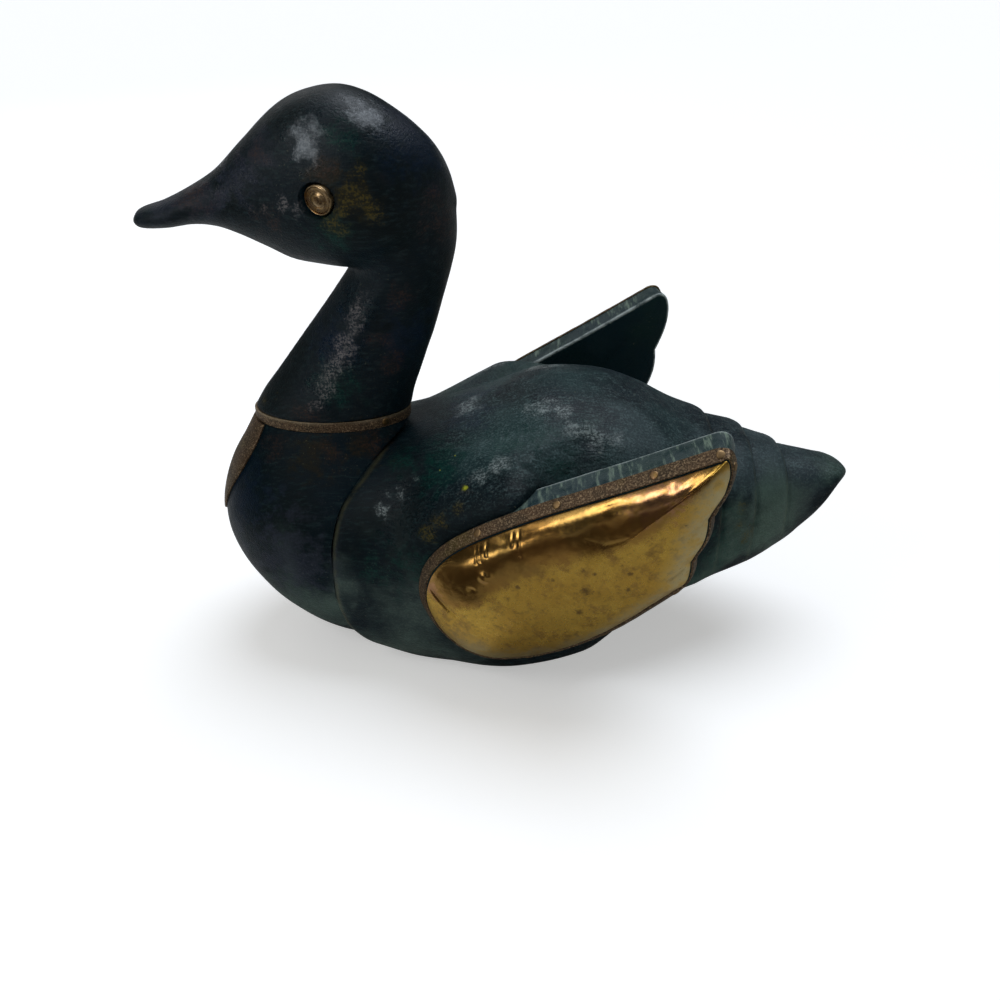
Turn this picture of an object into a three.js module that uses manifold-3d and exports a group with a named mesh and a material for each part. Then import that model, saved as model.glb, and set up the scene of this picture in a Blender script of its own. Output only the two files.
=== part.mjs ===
// A painted wooden duck with brass-faced wings and copper trim, in millimetres, +Z up.
// The bill points along -X, the left wing is on the -Y side, and the base rests at Z = 0.
import * as THREE from 'three';
import Module from 'manifold-3d';
import { LoftGeometry } from 'three/addons/geometries/LoftGeometry.js';
import { mergeVertices } from 'three/addons/utils/BufferGeometryUtils.js';

const wasm = await Module();
wasm.setup();

// Sides of the duck, as the sign of Y
const SIDES = { left: -1, right: 1 };

// Fits and resolution
const GAP = 0.3;
const WELD = 1e-4;
const RING_POINTS = 32;
const ROUND_SEGMENTS = 8;
const FAR = 250;

// Body block: heights and half width along X, and the joint with the breast as X against height
const BODY_FRONT_X = -80;
const BODY_TAIL_X = 151.8;
const BODY_TOP = [
  [-80, 102.5], [-61, 106.5], [-32, 114], [-3, 120.5], [15, 123], [39, 121], [57, 115.1], [72, 107.3],
  [87, 102.1], [104, 99.1], [120, 95], [132, 92.8], [147, 89.2], [153, 87.8],
];
const BODY_BOTTOM = [
  [-80, 0], [-60, -6], [-25, -8], [0, -5], [22, 2], [45, 15], [66, 27.5], [85, 32.5], [106, 34.4], [117, 37.5],
  [127, 42.4], [137, 51.8], [147, 65.6], [153, 66],
];
const BODY_HALF_WIDTH = [
  [-80, 50.5], [-50, 55], [-20, 58.5], [10, 60], [35, 58], [60, 52], [85, 43], [104, 36], [120, 29.5],
  [132, 25], [147, 19.5], [153, 16],
];
const BODY_SECTION_POWERS = [2.3, 3.2];
const JOINT_X = [
  [0, -58], [11, -66], [18, -71], [28, -76.5], [40, -79.5], [52, -80], [63, -80], [72, -79], [83, -75.5],
  [91, -69], [100, -59], [107, -48], [112, -42], [120, -40],
];
const JOINT_SPAN_Z = [-20, 140];
const JOINT_STEPS = 40;
const JOINT_BEND_END_X = 10;
const JOINT_LIP = 2.2;
const JOINT_LIP_RUN = 4.5;

// Tail: three carved steps that fade into an even slope underneath, then a rounded tip
const TAIL_STEPS_X = [87, 104, 120.5];
const TAIL_STEP = 2.5;
const TAIL_SHOULDER = 6;
const TAIL_EVEN_X = [79, 129];
const TAIL_FADE_SINE = 0.35;
const TAIL_ROUND = 10.7;

// Breast block: outline in plan against height
const BREAST_TOP_Z = 108;
const BREAST_FRONT = [
  [3, -83], [7, -92], [13, -101], [21, -111], [31, -120.3], [43, -127.8], [55, -132], [66, -133], [76, -131.2],
  [88, -126.6], [100, -119.5], [108, -115],
];
const BREAST_HALF_WIDTH = [
  [3, 22], [7, 29], [13, 35.5], [21, 41], [31, 45.5], [44, 48], [58, 48.5], [70, 47], [80, 42.5], [90, 35.5],
  [100, 26.5], [108, 19.6],
];
const BREAST_WIDEST = [[3, -60], [30, -70], [60, -76], [90, -80], [108, -81]];
const BREAST_BACK = [[3, -30], [60, -30], [90, -38], [100, -43], [108, -46.8]];

// Neck: outline in plan against height, standing on the collar
const NECK_FOOT_Z = 113;
const NECK_FRONT = [
  [113, -114.5], [121, -109.5], [131, -102], [147, -90], [164, -77], [175, -69.5], [190, -62], [204, -58],
];
const NECK_BACK = [
  [113, -46.5], [121, -44.5], [131, -41], [147, -35.5], [164, -30.3], [175, -27], [185, -25], [195, -24.6],
  [204, -25.5],
];
const NECK_HALF_WIDTH = [[113, 20.3], [121, 19], [131, 18], [147, 17.5], [164, 17.5], [190, 18], [204, 17]];
const NECK_WIDEST_PART = [[113, 0.5], [122, 0.46], [138, 0.42], [204, 0.42]];
const NECK_FRONT_POWER = [[113, 2], [122, 1.8], [140, 1.55], [204, 1.55]];

// Head and bill: heights and half width along X
const HEAD_TOP = [
  [-153.5, 195], [-151, 198.5], [-140, 202.3], [-128, 208.5], [-118, 215], [-108, 224.5], [-100, 232], [-91, 239],
  [-81, 243.5], [-69, 245.3], [-59, 242.8], [-50, 237.8], [-39, 229.5], [-32, 222], [-27, 212.5], [-24.5, 203],
];
const HEAD_BOTTOM = [
  [-153.5, 193.5], [-150, 191.8], [-140, 192], [-129, 193.5], [-119, 192.5], [-110, 189], [-100, 184],
  [-91, 179.5], [-81, 177.5], [-70, 176], [-55, 176], [-40, 180], [-30, 188], [-24.5, 199],
];
const HEAD_HALF_WIDTH = [
  [-153.5, 1.5], [-151, 5.5], [-140, 8.5], [-125, 10.5], [-115, 12.8], [-105, 15.8], [-95, 19.2], [-85, 22.6],
  [-75, 25.2], [-65, 26.6], [-55, 26], [-45, 22.8], [-37, 18], [-29, 10.5], [-24.5, 2],
];
const HEAD_SECTION_POWERS = [2.15, 2.15];

// Stations where the carved surfaces are drawn as sections
const BODY_STEPS = 10;
const BODY_STEPS_END_X = 72;
const TAIL_STATIONS_X = [93, 110, 128, 137];
const LIP_PARTS = [3, 1, 0.8, 0.5, 0.2, 0];
const SHOULDER_PARTS = [1, 0.6, 0.3, 0.1, 0];
const TIP_PARTS = [1, 0.6, 0.35, 0.15, 0.05, 0.01];
const BREAST_STATIONS_Z = [3, 5, 8, 12, 18, 25, 33, 42, 52, 62, 72, 82, 91, 100, 108];
const NECK_STATIONS_Z = [113, 118, 124, 131, 139, 147, 156, 164, 171, 178, 186, 195, 204];
const HEAD_STATIONS_X = [
  -153.5, -152.5, -151, -147, -140, -133, -126, -119, -112, -105, -98, -91, -84, -77, -70, -63, -56, -49, -43,
  -38, -34, -31, -28, -26, -24.5,
];

// Eyes: a thin brass ring round a dished stud, in a pocket on the side of the head that faces the bill a little
const EYE_X = -76;
const EYE_TURN = Math.PI + 0.06;
const EYE_FORWARD = THREE.MathUtils.degToRad(28);
const EYE_DOWN = THREE.MathUtils.degToRad(8);
const EYE_SINK = 0.6;
const EYE_POCKET = { radius: 7.2, depth: 2.2, headroom: 6 };
const EYE_RING_RADIUS = 6;
const EYE_RING_HEIGHTS = { outer: 0.4, crown: 0.8, inner: 0.5 };
const EYE_STUD_RADIUS = 5;
const EYE_STUD_DISH = [[5, 0.35], [3.7, 0.15], [2.3, 0.9], [0, 1.1]];

// Copper collar and breast strip
const COPPER_THICKNESS = 0.6;
const COLLAR_REBATE = 1;
const COLLAR_PIN_POINT = 4;
const STRIP_HALF_WIDTH = [[62, 3], [64, 7.5], [68, 11], [76, 15], [88, 17.5], [98, 15], [107.6, 11]];
const STRIP_ROWS = 12;
const STRIP_COLUMNS = 8;
const STRIP_LIFT = 0.4;
const STRIP_PIN_Z = 68;

// Dowels: radius, length and centre
const NECK_DOWEL = { radius: 5, length: 46, x: -86, z: 111 };
const BODY_DOWEL = { radius: 5, length: 50, x: -78, y: 20, z: 45 };
const DOWEL_END_GAP = 1;

// Wings: a splayed board whose local x runs back along the wing, y up across it and z through it
const WING_PLACE = new THREE.Vector3(11.5, 72, 80);
const WING_PLACE_DEPTH = 14.5;
const WING_SLIDE = { left: 0, right: -2 };
const WING_PITCH = THREE.MathUtils.degToRad(21.3);
const WING_SPLAY = THREE.MathUtils.degToRad(10.5);
const WING_LEAN = THREE.MathUtils.degToRad(4);
const WING_EDGE = [
  [73, 29], [40, 26], [2, 23], [-24, 19.3], [-41, 14.5], [-53, 7], [-60.5, -3.5], [-62.8, -14], [-61.5, -27],
  [-54.5, -40.5], [-40.5, -49], [-15, -50.5], [12, -44.5], [43.5, -31],
];
const WING_LOBES = [
  { control: [52, -26], end: [54.5, -16] },
  { control: [63.5, -9], end: [66.5, 2] },
  { control: [76, 10], end: [79.5, 19.5] },
  { control: [83, 30.5], end: [73, 29] },
];
const WING_STEPS = 3;
const WING_CENTRE = [4, -9];
const WING_EDGE_DEPTH = 12.5;
const WING_BEVEL_IN = 3.4;
const WING_REAR_BEVEL_IN = 1.4;
const WING_REAR_FACING = [0.5, 0.85];
const WING_BEVEL_OUT = 4.3;
const WING_CROWN = { height: 5, power: 2 };
const WING_ROLL = { height: 3.5, power: 10 };
const WING_DOME_RINGS = [1, 0.95, 0.86, 0.6, 0.3];
const WING_SEAT_GAP = 0.4;
const WING_SEAT_DEPTH = 50;
const BRASS_THICKNESS = 0.7;
const BRASS_MARGIN = 0.5;

// Pins along the wing's edging, by the nearest place on its outline, and the screws behind the brass
const WING_PINS = [
  [-24.5, 19.2], [11, 23.9], [51, 26.9], [77, 29], [80.8, 21.5], [68, 4], [54.5, -16], [43.5, -31], [8, -45],
  [-28, -48],
];
const PIN = {
  headRadius: 1.8, headHeight: 0.7, crownRadius: 1.35, crownHeight: 0.5, shankRadius: 0.6, length: 5.5, point: 1,
};
const PIN_SEAT = 0.2;
const PIN_HEADROOM = 3;
const WING_SCREWS = { front: [-27, 1.5], rear: [-4, -18] };
const WING_SCREW_DEPTH = 22;
const SCREW = { headRadius: 4.2, headHeight: 2.6, shankRadius: 2.2, reach: 24, point: 3 };
const SCREW_HEADROOM = 10;

// Finishes
const FINISHES = {
  paint: { color: 0x1d2b28, roughness: 0.45, metalness: 0 },
  bareWood: { color: 0xb08a5a, roughness: 0.8, metalness: 0 },
  brass: { color: 0xc79a3d, roughness: 0.3, metalness: 1 },
  copper: { color: 0x8a5a3a, roughness: 0.4, metalness: 1 },
  steel: { color: 0x8d9196, roughness: 0.4, metalness: 1 },
};

// A smooth curve through [input, value] knots, level with its end values beyond them
function profile(knots) {
  const last = knots.length - 1;
  const slopes = knots.map((knot, i) => {
    const before = knots[Math.max(i - 1, 0)];
    const after = knots[Math.min(i + 1, last)];
    return (after[1] - before[1]) / (after[0] - before[0]);
  });
  return input => {
    const found = knots.findIndex(knot => knot[0] > input);
    const i = THREE.MathUtils.clamp((found < 0 ? last : found) - 1, 0, last - 1);
    const span = knots[i + 1][0] - knots[i][0];
    const t = THREE.MathUtils.clamp((input - knots[i][0]) / span, 0, 1);
    const rise = knots[i + 1][1] - knots[i][1];
    const bend = t * (1 - t) * ((1 - t) * (slopes[i] * span - rise) - t * (slopes[i + 1] * span - rise));
    return knots[i][1] + rise * t + bend;
  };
}

const bodyTop = profile(BODY_TOP);
const bodyBottom = profile(BODY_BOTTOM);
const bodyHalf = profile(BODY_HALF_WIDTH);
const jointX = profile(JOINT_X);
const breastFront = profile(BREAST_FRONT);
const breastHalf = profile(BREAST_HALF_WIDTH);
const breastWidest = profile(BREAST_WIDEST);
const breastBack = profile(BREAST_BACK);
const stripHalf = profile(STRIP_HALF_WIDTH);
const neckFront = profile(NECK_FRONT);
const neckBack = profile(NECK_BACK);
const neckHalf = profile(NECK_HALF_WIDTH);
const neckWidestPart = profile(NECK_WIDEST_PART);
const neckFrontPower = profile(NECK_FRONT_POWER);
const headTop = profile(HEAD_TOP);
const headBottom = profile(HEAD_BOTTOM);
const headHalf = profile(HEAD_HALF_WIDTH);

// Conversion between three.js geometry and solids that can be cut and joined
function toSolid(geometry) {
  const plain = new THREE.BufferGeometry();
  plain.setAttribute('position', geometry.attributes.position);
  plain.setIndex(geometry.index);
  const merged = mergeVertices(plain, WELD);
  const vertProperties = merged.attributes.position.array;
  const triVerts = merged.index.array;
  return new wasm.Manifold(new wasm.Mesh({ numProp: 3, vertProperties, triVerts }));
}

function toGeometry(solid) {
  const { vertProperties, triVerts } = solid.getMesh();
  const geometry = new THREE.BufferGeometry();
  geometry.setAttribute('position', new THREE.BufferAttribute(vertProperties, 3));
  geometry.setIndex(new THREE.BufferAttribute(triVerts, 1));
  geometry.computeVertexNormals();
  return geometry;
}

function loft(sections) {
  return toSolid(new LoftGeometry(sections, { capStart: true, capEnd: true }));
}

function cut(solid, cutters) {
  return cutters.reduce((rest, cutter) => rest.subtract(cutter), solid);
}

// A matrix that stands a turned piece at a place with its own +Y axis along a direction
function standing(place, direction) {
  const turn = new THREE.Quaternion().setFromUnitVectors(new THREE.Vector3(0, 1, 0), direction);
  return new THREE.Matrix4().compose(place, turn, new THREE.Vector3(1, 1, 1));
}

// A round piece from its [radius, height] profile
function turned(points) {
  const outline = points.map(([radius, height]) => new THREE.Vector2(radius, height));
  return new THREE.LatheGeometry(outline, ROUND_SEGMENTS);
}

function roundBar(radius, length) {
  return turned([[0, -length / 2], [radius, -length / 2], [radius, length / 2], [0, length / 2]]);
}

function placedSolid(geometry, matrix) {
  return toSolid(geometry.clone().applyMatrix4(matrix));
}

function steps(from, to, count) {
  return Array.from({ length: count + 1 }, (_, i) => from + (to - from) * i / count);
}

// A quarter-round drop from 0 to 1 as the input goes from 0 to 1
function quarterRound(input) {
  const t = THREE.MathUtils.clamp(input, 0, 1);
  return 1 - Math.sqrt(1 - t * t);
}

function signedPower(value, power) {
  return Math.sign(value) * Math.abs(value) ** power;
}

// One rounded section across the X axis, between a bottom and a top height, drawn in by an inset at each height
function crossSection(x, bottom, top, half, powers, bend = () => 0, inset = () => 0) {
  const middle = (bottom + top) / 2;
  const reach = (top - bottom) / 2;
  return Array.from({ length: RING_POINTS }, (_, i) => {
    const angle = i / RING_POINTS * 2 * Math.PI;
    const power = Math.sin(angle) > 0 ? powers[0] : powers[1];
    const inward = inset(Math.sin(angle));
    const z = middle + (reach - inward) * signedPower(Math.sin(angle), 2 / power);
    const y = (half - inward) * signedPower(Math.cos(angle), 2 / power);
    return new THREE.Vector3(x + bend(z), y, z);
  });
}

// One oval section in plan, from a front to a back, widest at a place between them
function planSection(z, front, widest, back, half, { grow = 0, frontPower = 2 } = {}) {
  return Array.from({ length: RING_POINTS }, (_, i) => {
    const angle = i / RING_POINTS * 2 * Math.PI;
    const behind = Math.cos(angle) > 0;
    const reach = behind ? back - widest : widest - front;
    const power = behind ? 1 : 2 / frontPower;
    const x = widest + (reach + grow) * signedPower(Math.cos(angle), power);
    return new THREE.Vector3(x, (half + grow) * signedPower(Math.sin(angle), power), z);
  });
}

// Everything on one side of the curved joint between breast and body, as a prism across the duck
function jointPrism(offset, farX) {
  const [low, high] = JOINT_SPAN_Z;
  const shape = new THREE.Shape();
  shape.moveTo(farX, low);
  steps(low, high, JOINT_STEPS).forEach(z => shape.lineTo(jointX(z) + offset, z));
  shape.lineTo(farX, high);
  const prism = new THREE.ExtrudeGeometry(shape, { depth: FAR, bevelEnabled: false });
  return toSolid(prism.rotateX(Math.PI / 2).translate(0, FAR / 2, 0));
}

// Body block, with the joint's rounded lip in front and the stepped tail behind
function bodySection(x) {
  const lip = JOINT_LIP * quarterRound((BODY_FRONT_X + JOINT_LIP_RUN - x) / JOINT_LIP_RUN);
  const drops = TAIL_STEPS_X.map(end => TAIL_STEP * quarterRound((x - end + TAIL_SHOULDER) / TAIL_SHOULDER));
  const stepped = drops.reduce((sum, drop) => sum + drop, 0);
  const [evenStart, evenEnd] = TAIL_EVEN_X;
  const even = drops.length * TAIL_STEP * THREE.MathUtils.clamp((x - evenStart) / (evenEnd - evenStart), 0, 1);
  const taper = 1 - quarterRound((x - BODY_TAIL_X + TAIL_ROUND) / TAIL_ROUND);
  const inset = sine => {
    const below = THREE.MathUtils.clamp((TAIL_FADE_SINE - sine) / (2 * TAIL_FADE_SINE), 0, 1);
    return (lip + THREE.MathUtils.lerp(stepped, even, below)) * taper;
  };
  const middle = (bodyTop(x) + bodyBottom(x)) / 2;
  const reach = (bodyTop(x) - bodyBottom(x)) / 2 * taper;
  const fade = THREE.MathUtils.clamp((JOINT_BEND_END_X - x) / (JOINT_BEND_END_X - BODY_FRONT_X), 0, 1);
  const bend = z => (jointX(z) - BODY_FRONT_X) * fade;
  return crossSection(x, middle - reach, middle + reach, bodyHalf(x) * taper, BODY_SECTION_POWERS, bend, inset);
}

function bodyLoft() {
  const lip = LIP_PARTS.map(part => BODY_FRONT_X + JOINT_LIP_RUN * (1 - part));
  const middle = steps(BODY_FRONT_X + JOINT_LIP_RUN, BODY_STEPS_END_X, BODY_STEPS).slice(1);
  const shoulders = TAIL_STEPS_X.flatMap(end => SHOULDER_PARTS.map(part => end - TAIL_SHOULDER * part));
  const tip = TIP_PARTS.map(part => BODY_TAIL_X - TAIL_ROUND * part);
  const stations = [...lip, ...middle, ...shoulders, ...TAIL_STATIONS_X, ...tip].sort((a, b) => a - b);
  return loft(stations.map(bodySection));
}

// Breast block, ending above in a rebated stub that carries the collar
function breastRing(z, grow = 0) {
  return planSection(z, breastFront(z), breastWidest(z), breastBack(z), breastHalf(z), { grow });
}

function stubRing(z, grow) {
  return breastRing(BREAST_TOP_Z, grow - COLLAR_REBATE).map(point => point.setZ(z));
}

function breastLoft() {
  return loft([
    ...BREAST_STATIONS_Z.map(z => breastRing(z)), stubRing(BREAST_TOP_Z, 0), stubRing(NECK_FOOT_Z - GAP, 0),
  ]);
}

function collarSolid() {
  const low = BREAST_TOP_Z + GAP;
  const high = NECK_FOOT_Z - GAP;
  const outer = loft([low, high].map(z => stubRing(z, GAP + COPPER_THICKNESS)));
  const inner = loft([low - GAP, high + GAP].map(z => stubRing(z, GAP)));
  return outer.subtract(inner);
}

// A point on the front of the breast at a height and a distance across, moved out by an offset
function breastPoint(z, y, offset) {
  const surfaceX = (height, across) => {
    const reach = breastWidest(height) - breastFront(height);
    return breastWidest(height) - reach * Math.sqrt(1 - (across / breastHalf(height)) ** 2);
  };
  const step = 0.5;
  const x = surfaceX(z, y);
  const slopeY = (surfaceX(z, y + step) - surfaceX(z, y - step)) / (2 * step);
  const slopeZ = (surfaceX(z + step, y) - surfaceX(z - step, y)) / (2 * step);
  const normal = new THREE.Vector3(-1, slopeY, slopeZ).normalize();
  const point = new THREE.Vector3(x, y, z).addScaledVector(normal, offset);
  return { point, normal };
}

function stripSolid() {
  const bottom = STRIP_HALF_WIDTH[0][0];
  const top = STRIP_HALF_WIDTH.at(-1)[0];
  const sections = steps(bottom, top, STRIP_ROWS).map(z => {
    const half = stripHalf(z);
    const across = steps(-half, half, STRIP_COLUMNS);
    const inner = across.map(y => breastPoint(z, y, STRIP_LIFT).point);
    const outer = across.map(y => breastPoint(z, y, STRIP_LIFT + COPPER_THICKNESS).point);
    return [...inner, ...outer.reverse()];
  });
  return loft(sections);
}

// Head and neck as one block, with a blunt ridge down the front of the neck
function neckLoft() {
  return loft(NECK_STATIONS_Z.map(z => {
    const widest = THREE.MathUtils.lerp(neckFront(z), neckBack(z), neckWidestPart(z));
    return planSection(z, neckFront(z), widest, neckBack(z), neckHalf(z), { frontPower: neckFrontPower(z) });
  }));
}

function headLoft() {
  return loft(HEAD_STATIONS_X.map(x => (
    crossSection(x, headBottom(x), headTop(x), headHalf(x), HEAD_SECTION_POWERS)
  )));
}

// The place and outward direction of an eye on the head's side
function eyePlace(side) {
  const middle = (headBottom(EYE_X) + headTop(EYE_X)) / 2;
  const reach = (headTop(EYE_X) - headBottom(EYE_X)) / 2;
  const across = -side * headHalf(EYE_X) * Math.cos(EYE_TURN);
  const place = new THREE.Vector3(EYE_X, across, middle + reach * Math.sin(EYE_TURN));
  const level = Math.cos(EYE_DOWN);
  const direction = new THREE.Vector3(
    -Math.sin(EYE_FORWARD) * level, side * Math.cos(EYE_FORWARD) * level, -Math.sin(EYE_DOWN),
  );
  return standing(place.addScaledVector(direction, -EYE_SINK), direction);
}

function eyeRing() {
  const inner = EYE_STUD_RADIUS + GAP;
  const outer = EYE_RING_RADIUS;
  const low = GAP - EYE_POCKET.depth;
  return turned([
    [inner, low], [outer, low], [outer, EYE_RING_HEIGHTS.outer], [(inner + outer) / 2, EYE_RING_HEIGHTS.crown],
    [inner, EYE_RING_HEIGHTS.inner], [inner, low],
  ]);
}

function eyeStud() {
  const low = GAP - EYE_POCKET.depth;
  return turned([[0, low], [EYE_STUD_RADIUS, low], ...EYE_STUD_DISH]);
}

function eyePocket() {
  const { radius, depth, headroom } = EYE_POCKET;
  return turned([[0, -depth], [radius, -depth], [radius, headroom], [0, headroom]]);
}

// Wing outline in the board's own plane, counter-clockwise from the top of the rear tip
function wingOutline() {
  const path = new THREE.Path();
  path.moveTo(...WING_EDGE[0]);
  path.splineThru(WING_EDGE.slice(1).map(point => new THREE.Vector2(...point)));
  WING_LOBES.forEach(({ end, control }) => path.quadraticCurveTo(...control, ...end));
  return path.getPoints(WING_STEPS).slice(0, -1);
}

const wingPoints = wingOutline();
const wingNormals = wingPoints.map((_, i) => {
  const before = wingPoints.at(i - 1);
  const after = wingPoints[(i + 1) % wingPoints.length];
  return new THREE.Vector2(after.y - before.y, before.x - after.x).normalize();
});

// The bevel towards a direction on the outline: how far it runs in, which is less along the rear lobes, and its slope
function bevelTowards(normal) {
  const rear = THREE.MathUtils.smoothstep(normal.x, ...WING_REAR_FACING);
  const inset = THREE.MathUtils.lerp(WING_BEVEL_IN, WING_REAR_BEVEL_IN, rear);
  const slope = Math.hypot(inset, WING_BEVEL_OUT);
  return { inset, outward: WING_BEVEL_OUT / slope, through: inset / slope };
}

// The outline at a depth, moved out by a distance for each bevel and drawn in towards the wing's centre
function wingRing(out, depth, scale = 1) {
  const centre = new THREE.Vector2(...WING_CENTRE);
  return wingPoints.map((point, i) => {
    const bevel = bevelTowards(wingNormals[i]);
    const moved = point.clone().addScaledVector(wingNormals[i], out(bevel)).sub(centre);
    moved.multiplyScalar(scale).add(centre);
    return new THREE.Vector3(moved.x, moved.y, depth(bevel));
  });
}

function edgeRing(grow, depth) {
  return wingRing(() => grow, () => depth);
}

// The dome over the bevel: a gentle crown whose border rolls down steeply
function domeRing(margin, lift, scale = 1) {
  const rise = ({ height, power }) => height * (1 - scale ** power);
  const depth = WING_EDGE_DEPTH + WING_BEVEL_OUT + lift + rise(WING_CROWN) + rise(WING_ROLL);
  return wingRing(bevel => -bevel.inset - margin, () => depth, scale);
}

function domeRings(margin, lift) {
  return WING_DOME_RINGS.map(scale => domeRing(margin, lift, scale));
}

function boardSolid() {
  return loft([edgeRing(0, 0), edgeRing(0, WING_EDGE_DEPTH), ...domeRings(0, 0)]);
}

function brassSolid() {
  const outer = loft([domeRing(BRASS_MARGIN, GAP), ...domeRings(BRASS_MARGIN, GAP + BRASS_THICKNESS)]);
  const under = loft([domeRing(0, -WING_EDGE_DEPTH), ...domeRings(0, GAP)]);
  return outer.subtract(under);
}

// Copper strip on the bevel, as a closed loop of four-cornered sections
function edgingSolid() {
  const corner = (part, lift) => wingRing(
    bevel => lift * bevel.outward - part * bevel.inset,
    bevel => WING_EDGE_DEPTH + part * WING_BEVEL_OUT + lift * bevel.through,
  );
  const lines = [
    corner(0, GAP), corner(1, GAP), corner(1, GAP + COPPER_THICKNESS), corner(0, GAP + COPPER_THICKNESS),
  ];
  const sections = wingPoints.map((_, i) => lines.map(line => line[i]));
  return toSolid(new LoftGeometry([...sections, sections[0]]));
}

// A pin's place and direction on the bevel, beside the place on the outline nearest to a target
function bevelPlace([x, y]) {
  const target = new THREE.Vector2(x, y);
  const spots = wingPoints.map((start, i) => {
    const next = (i + 1) % wingPoints.length;
    const run = wingPoints[next].clone().sub(start);
    const part = THREE.MathUtils.clamp(target.clone().sub(start).dot(run) / run.lengthSq(), 0, 1);
    const point = start.clone().addScaledVector(run, part);
    const normal = wingNormals[i].clone().lerp(wingNormals[next], part).normalize();
    return { point, normal, distance: point.distanceTo(target) };
  });
  const { point, normal } = spots.reduce((best, spot) => (spot.distance < best.distance ? spot : best));
  const bevel = bevelTowards(normal);
  const direction = new THREE.Vector3(normal.x * bevel.outward, normal.y * bevel.outward, bevel.through);
  const middle = point.clone().addScaledVector(normal, -bevel.inset / 2);
  const place = new THREE.Vector3(middle.x, middle.y, WING_EDGE_DEPTH + WING_BEVEL_OUT / 2);
  place.addScaledVector(direction, 2 * GAP + COPPER_THICKNESS);
  return { place, direction };
}

function pinGeometry() {
  return turned([
    [0, -PIN.length], [PIN.shankRadius, PIN.point - PIN.length], [PIN.shankRadius, 0], [PIN.headRadius, 0],
    [PIN.crownRadius, PIN.crownHeight], [0, PIN.headHeight],
  ]);
}

// The hole for a pin, with room round its head where the strip bends
function pinHole() {
  const radius = PIN.shankRadius + GAP;
  const headRadius = PIN.headRadius + GAP;
  const low = -PIN.length - PIN.point;
  return turned([
    [0, low], [radius, low], [radius, -PIN_SEAT], [headRadius, -PIN_SEAT], [headRadius, PIN_HEADROOM],
    [0, PIN_HEADROOM],
  ]);
}

// A countersunk screw, or the hole for it when it is grown by a gap
function screwGeometry(grow = 0, headroom = 0) {
  const tip = -WING_SCREW_DEPTH - SCREW.reach - grow;
  const shank = SCREW.shankRadius + grow;
  const head = SCREW.headRadius + grow;
  const top = headroom + grow;
  return turned([
    [0, tip], [shank, tip + SCREW.point], [shank, -SCREW.headHeight], [head, 0], [head, top], [0, top],
  ]);
}

// A wing's own frame: z is outward on the left wing and inward on the right
function wingMatrix(name) {
  const side = SIDES[name];
  const along = new THREE.Vector3(Math.cos(WING_PITCH), 0, Math.sin(WING_PITCH));
  const up = new THREE.Vector3(-Math.sin(WING_PITCH), 0, Math.cos(WING_PITCH));
  const matrix = new THREE.Matrix4().makeRotationZ(side * WING_SPLAY);
  matrix.multiply(new THREE.Matrix4().makeRotationX(-side * WING_LEAN));
  matrix.multiply(new THREE.Matrix4().makeBasis(along, up, new THREE.Vector3(0, -1, 0)));
  const place = new THREE.Vector3(WING_SLIDE[name], 0, side * WING_PLACE_DEPTH).applyMatrix4(matrix);
  place.add(new THREE.Vector3(WING_PLACE.x, side * WING_PLACE.y, WING_PLACE.z));
  return matrix.setPosition(place);
}

function piece(name, geometry, finish, matrix = new THREE.Matrix4()) {
  const mesh = new THREE.Mesh(geometry, new THREE.MeshStandardMaterial(FINISHES[finish]));
  mesh.name = name;
  mesh.applyMatrix4(matrix);
  return mesh;
}

const duck = new THREE.Group();
const bodyCuts = [jointPrism(GAP / 2, -FAR)];
const breastCuts = [jointPrism(-GAP / 2, FAR)];
const neckCuts = [];
const collarCuts = [];

// Flat base
const belowBase = new THREE.BoxGeometry(2 * FAR, FAR, FAR).translate(0, 0, -FAR / 2);
bodyCuts.push(toSolid(belowBase));

// Dowel between neck and breast
const neckDowelPlace = standing(new THREE.Vector3(NECK_DOWEL.x, 0, NECK_DOWEL.z), new THREE.Vector3(0, 0, 1));
const neckDowelHole = placedSolid(
  roundBar(NECK_DOWEL.radius + GAP, NECK_DOWEL.length + 2 * DOWEL_END_GAP), neckDowelPlace,
);
breastCuts.push(neckDowelHole);
neckCuts.push(neckDowelHole);
duck.add(piece('neck_dowel', roundBar(NECK_DOWEL.radius, NECK_DOWEL.length), 'bareWood', neckDowelPlace));

// Dowels between breast and body
for (const [name, side] of Object.entries(SIDES)) {
  const centre = new THREE.Vector3(BODY_DOWEL.x, side * BODY_DOWEL.y, BODY_DOWEL.z);
  const place = standing(centre, new THREE.Vector3(1, 0, 0));
  const hole = placedSolid(roundBar(BODY_DOWEL.radius + GAP, BODY_DOWEL.length + 2 * DOWEL_END_GAP), place);
  bodyCuts.push(hole);
  breastCuts.push(hole);
  duck.add(piece(`${name}_body_dowel`, roundBar(BODY_DOWEL.radius, BODY_DOWEL.length), 'bareWood', place));
}

// Eyes
for (const [name, side] of Object.entries(SIDES)) {
  const place = eyePlace(side);
  neckCuts.push(placedSolid(eyePocket(), place));
  duck.add(piece(`${name}_eye_ring`, eyeRing(), 'brass', place));
  duck.add(piece(`${name}_eye_stud`, eyeStud(), 'brass', place));
}

// Pins of the collar
const pinRing = stubRing((BREAST_TOP_Z + NECK_FOOT_Z) / 2, 2 * GAP + COPPER_THICKNESS);
for (const [name, side] of Object.entries(SIDES)) {
  const before = pinRing.at(side * COLLAR_PIN_POINT - 1);
  const after = pinRing.at(side * COLLAR_PIN_POINT + 1);
  const direction = new THREE.Vector3(after.y - before.y, before.x - after.x, 0).normalize();
  const place = standing(pinRing.at(side * COLLAR_PIN_POINT), direction);
  const hole = placedSolid(pinHole(), place);
  collarCuts.push(hole);
  breastCuts.push(hole);
  duck.add(piece(`${name}_collar_pin`, pinGeometry(), 'brass', place));
}

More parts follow.
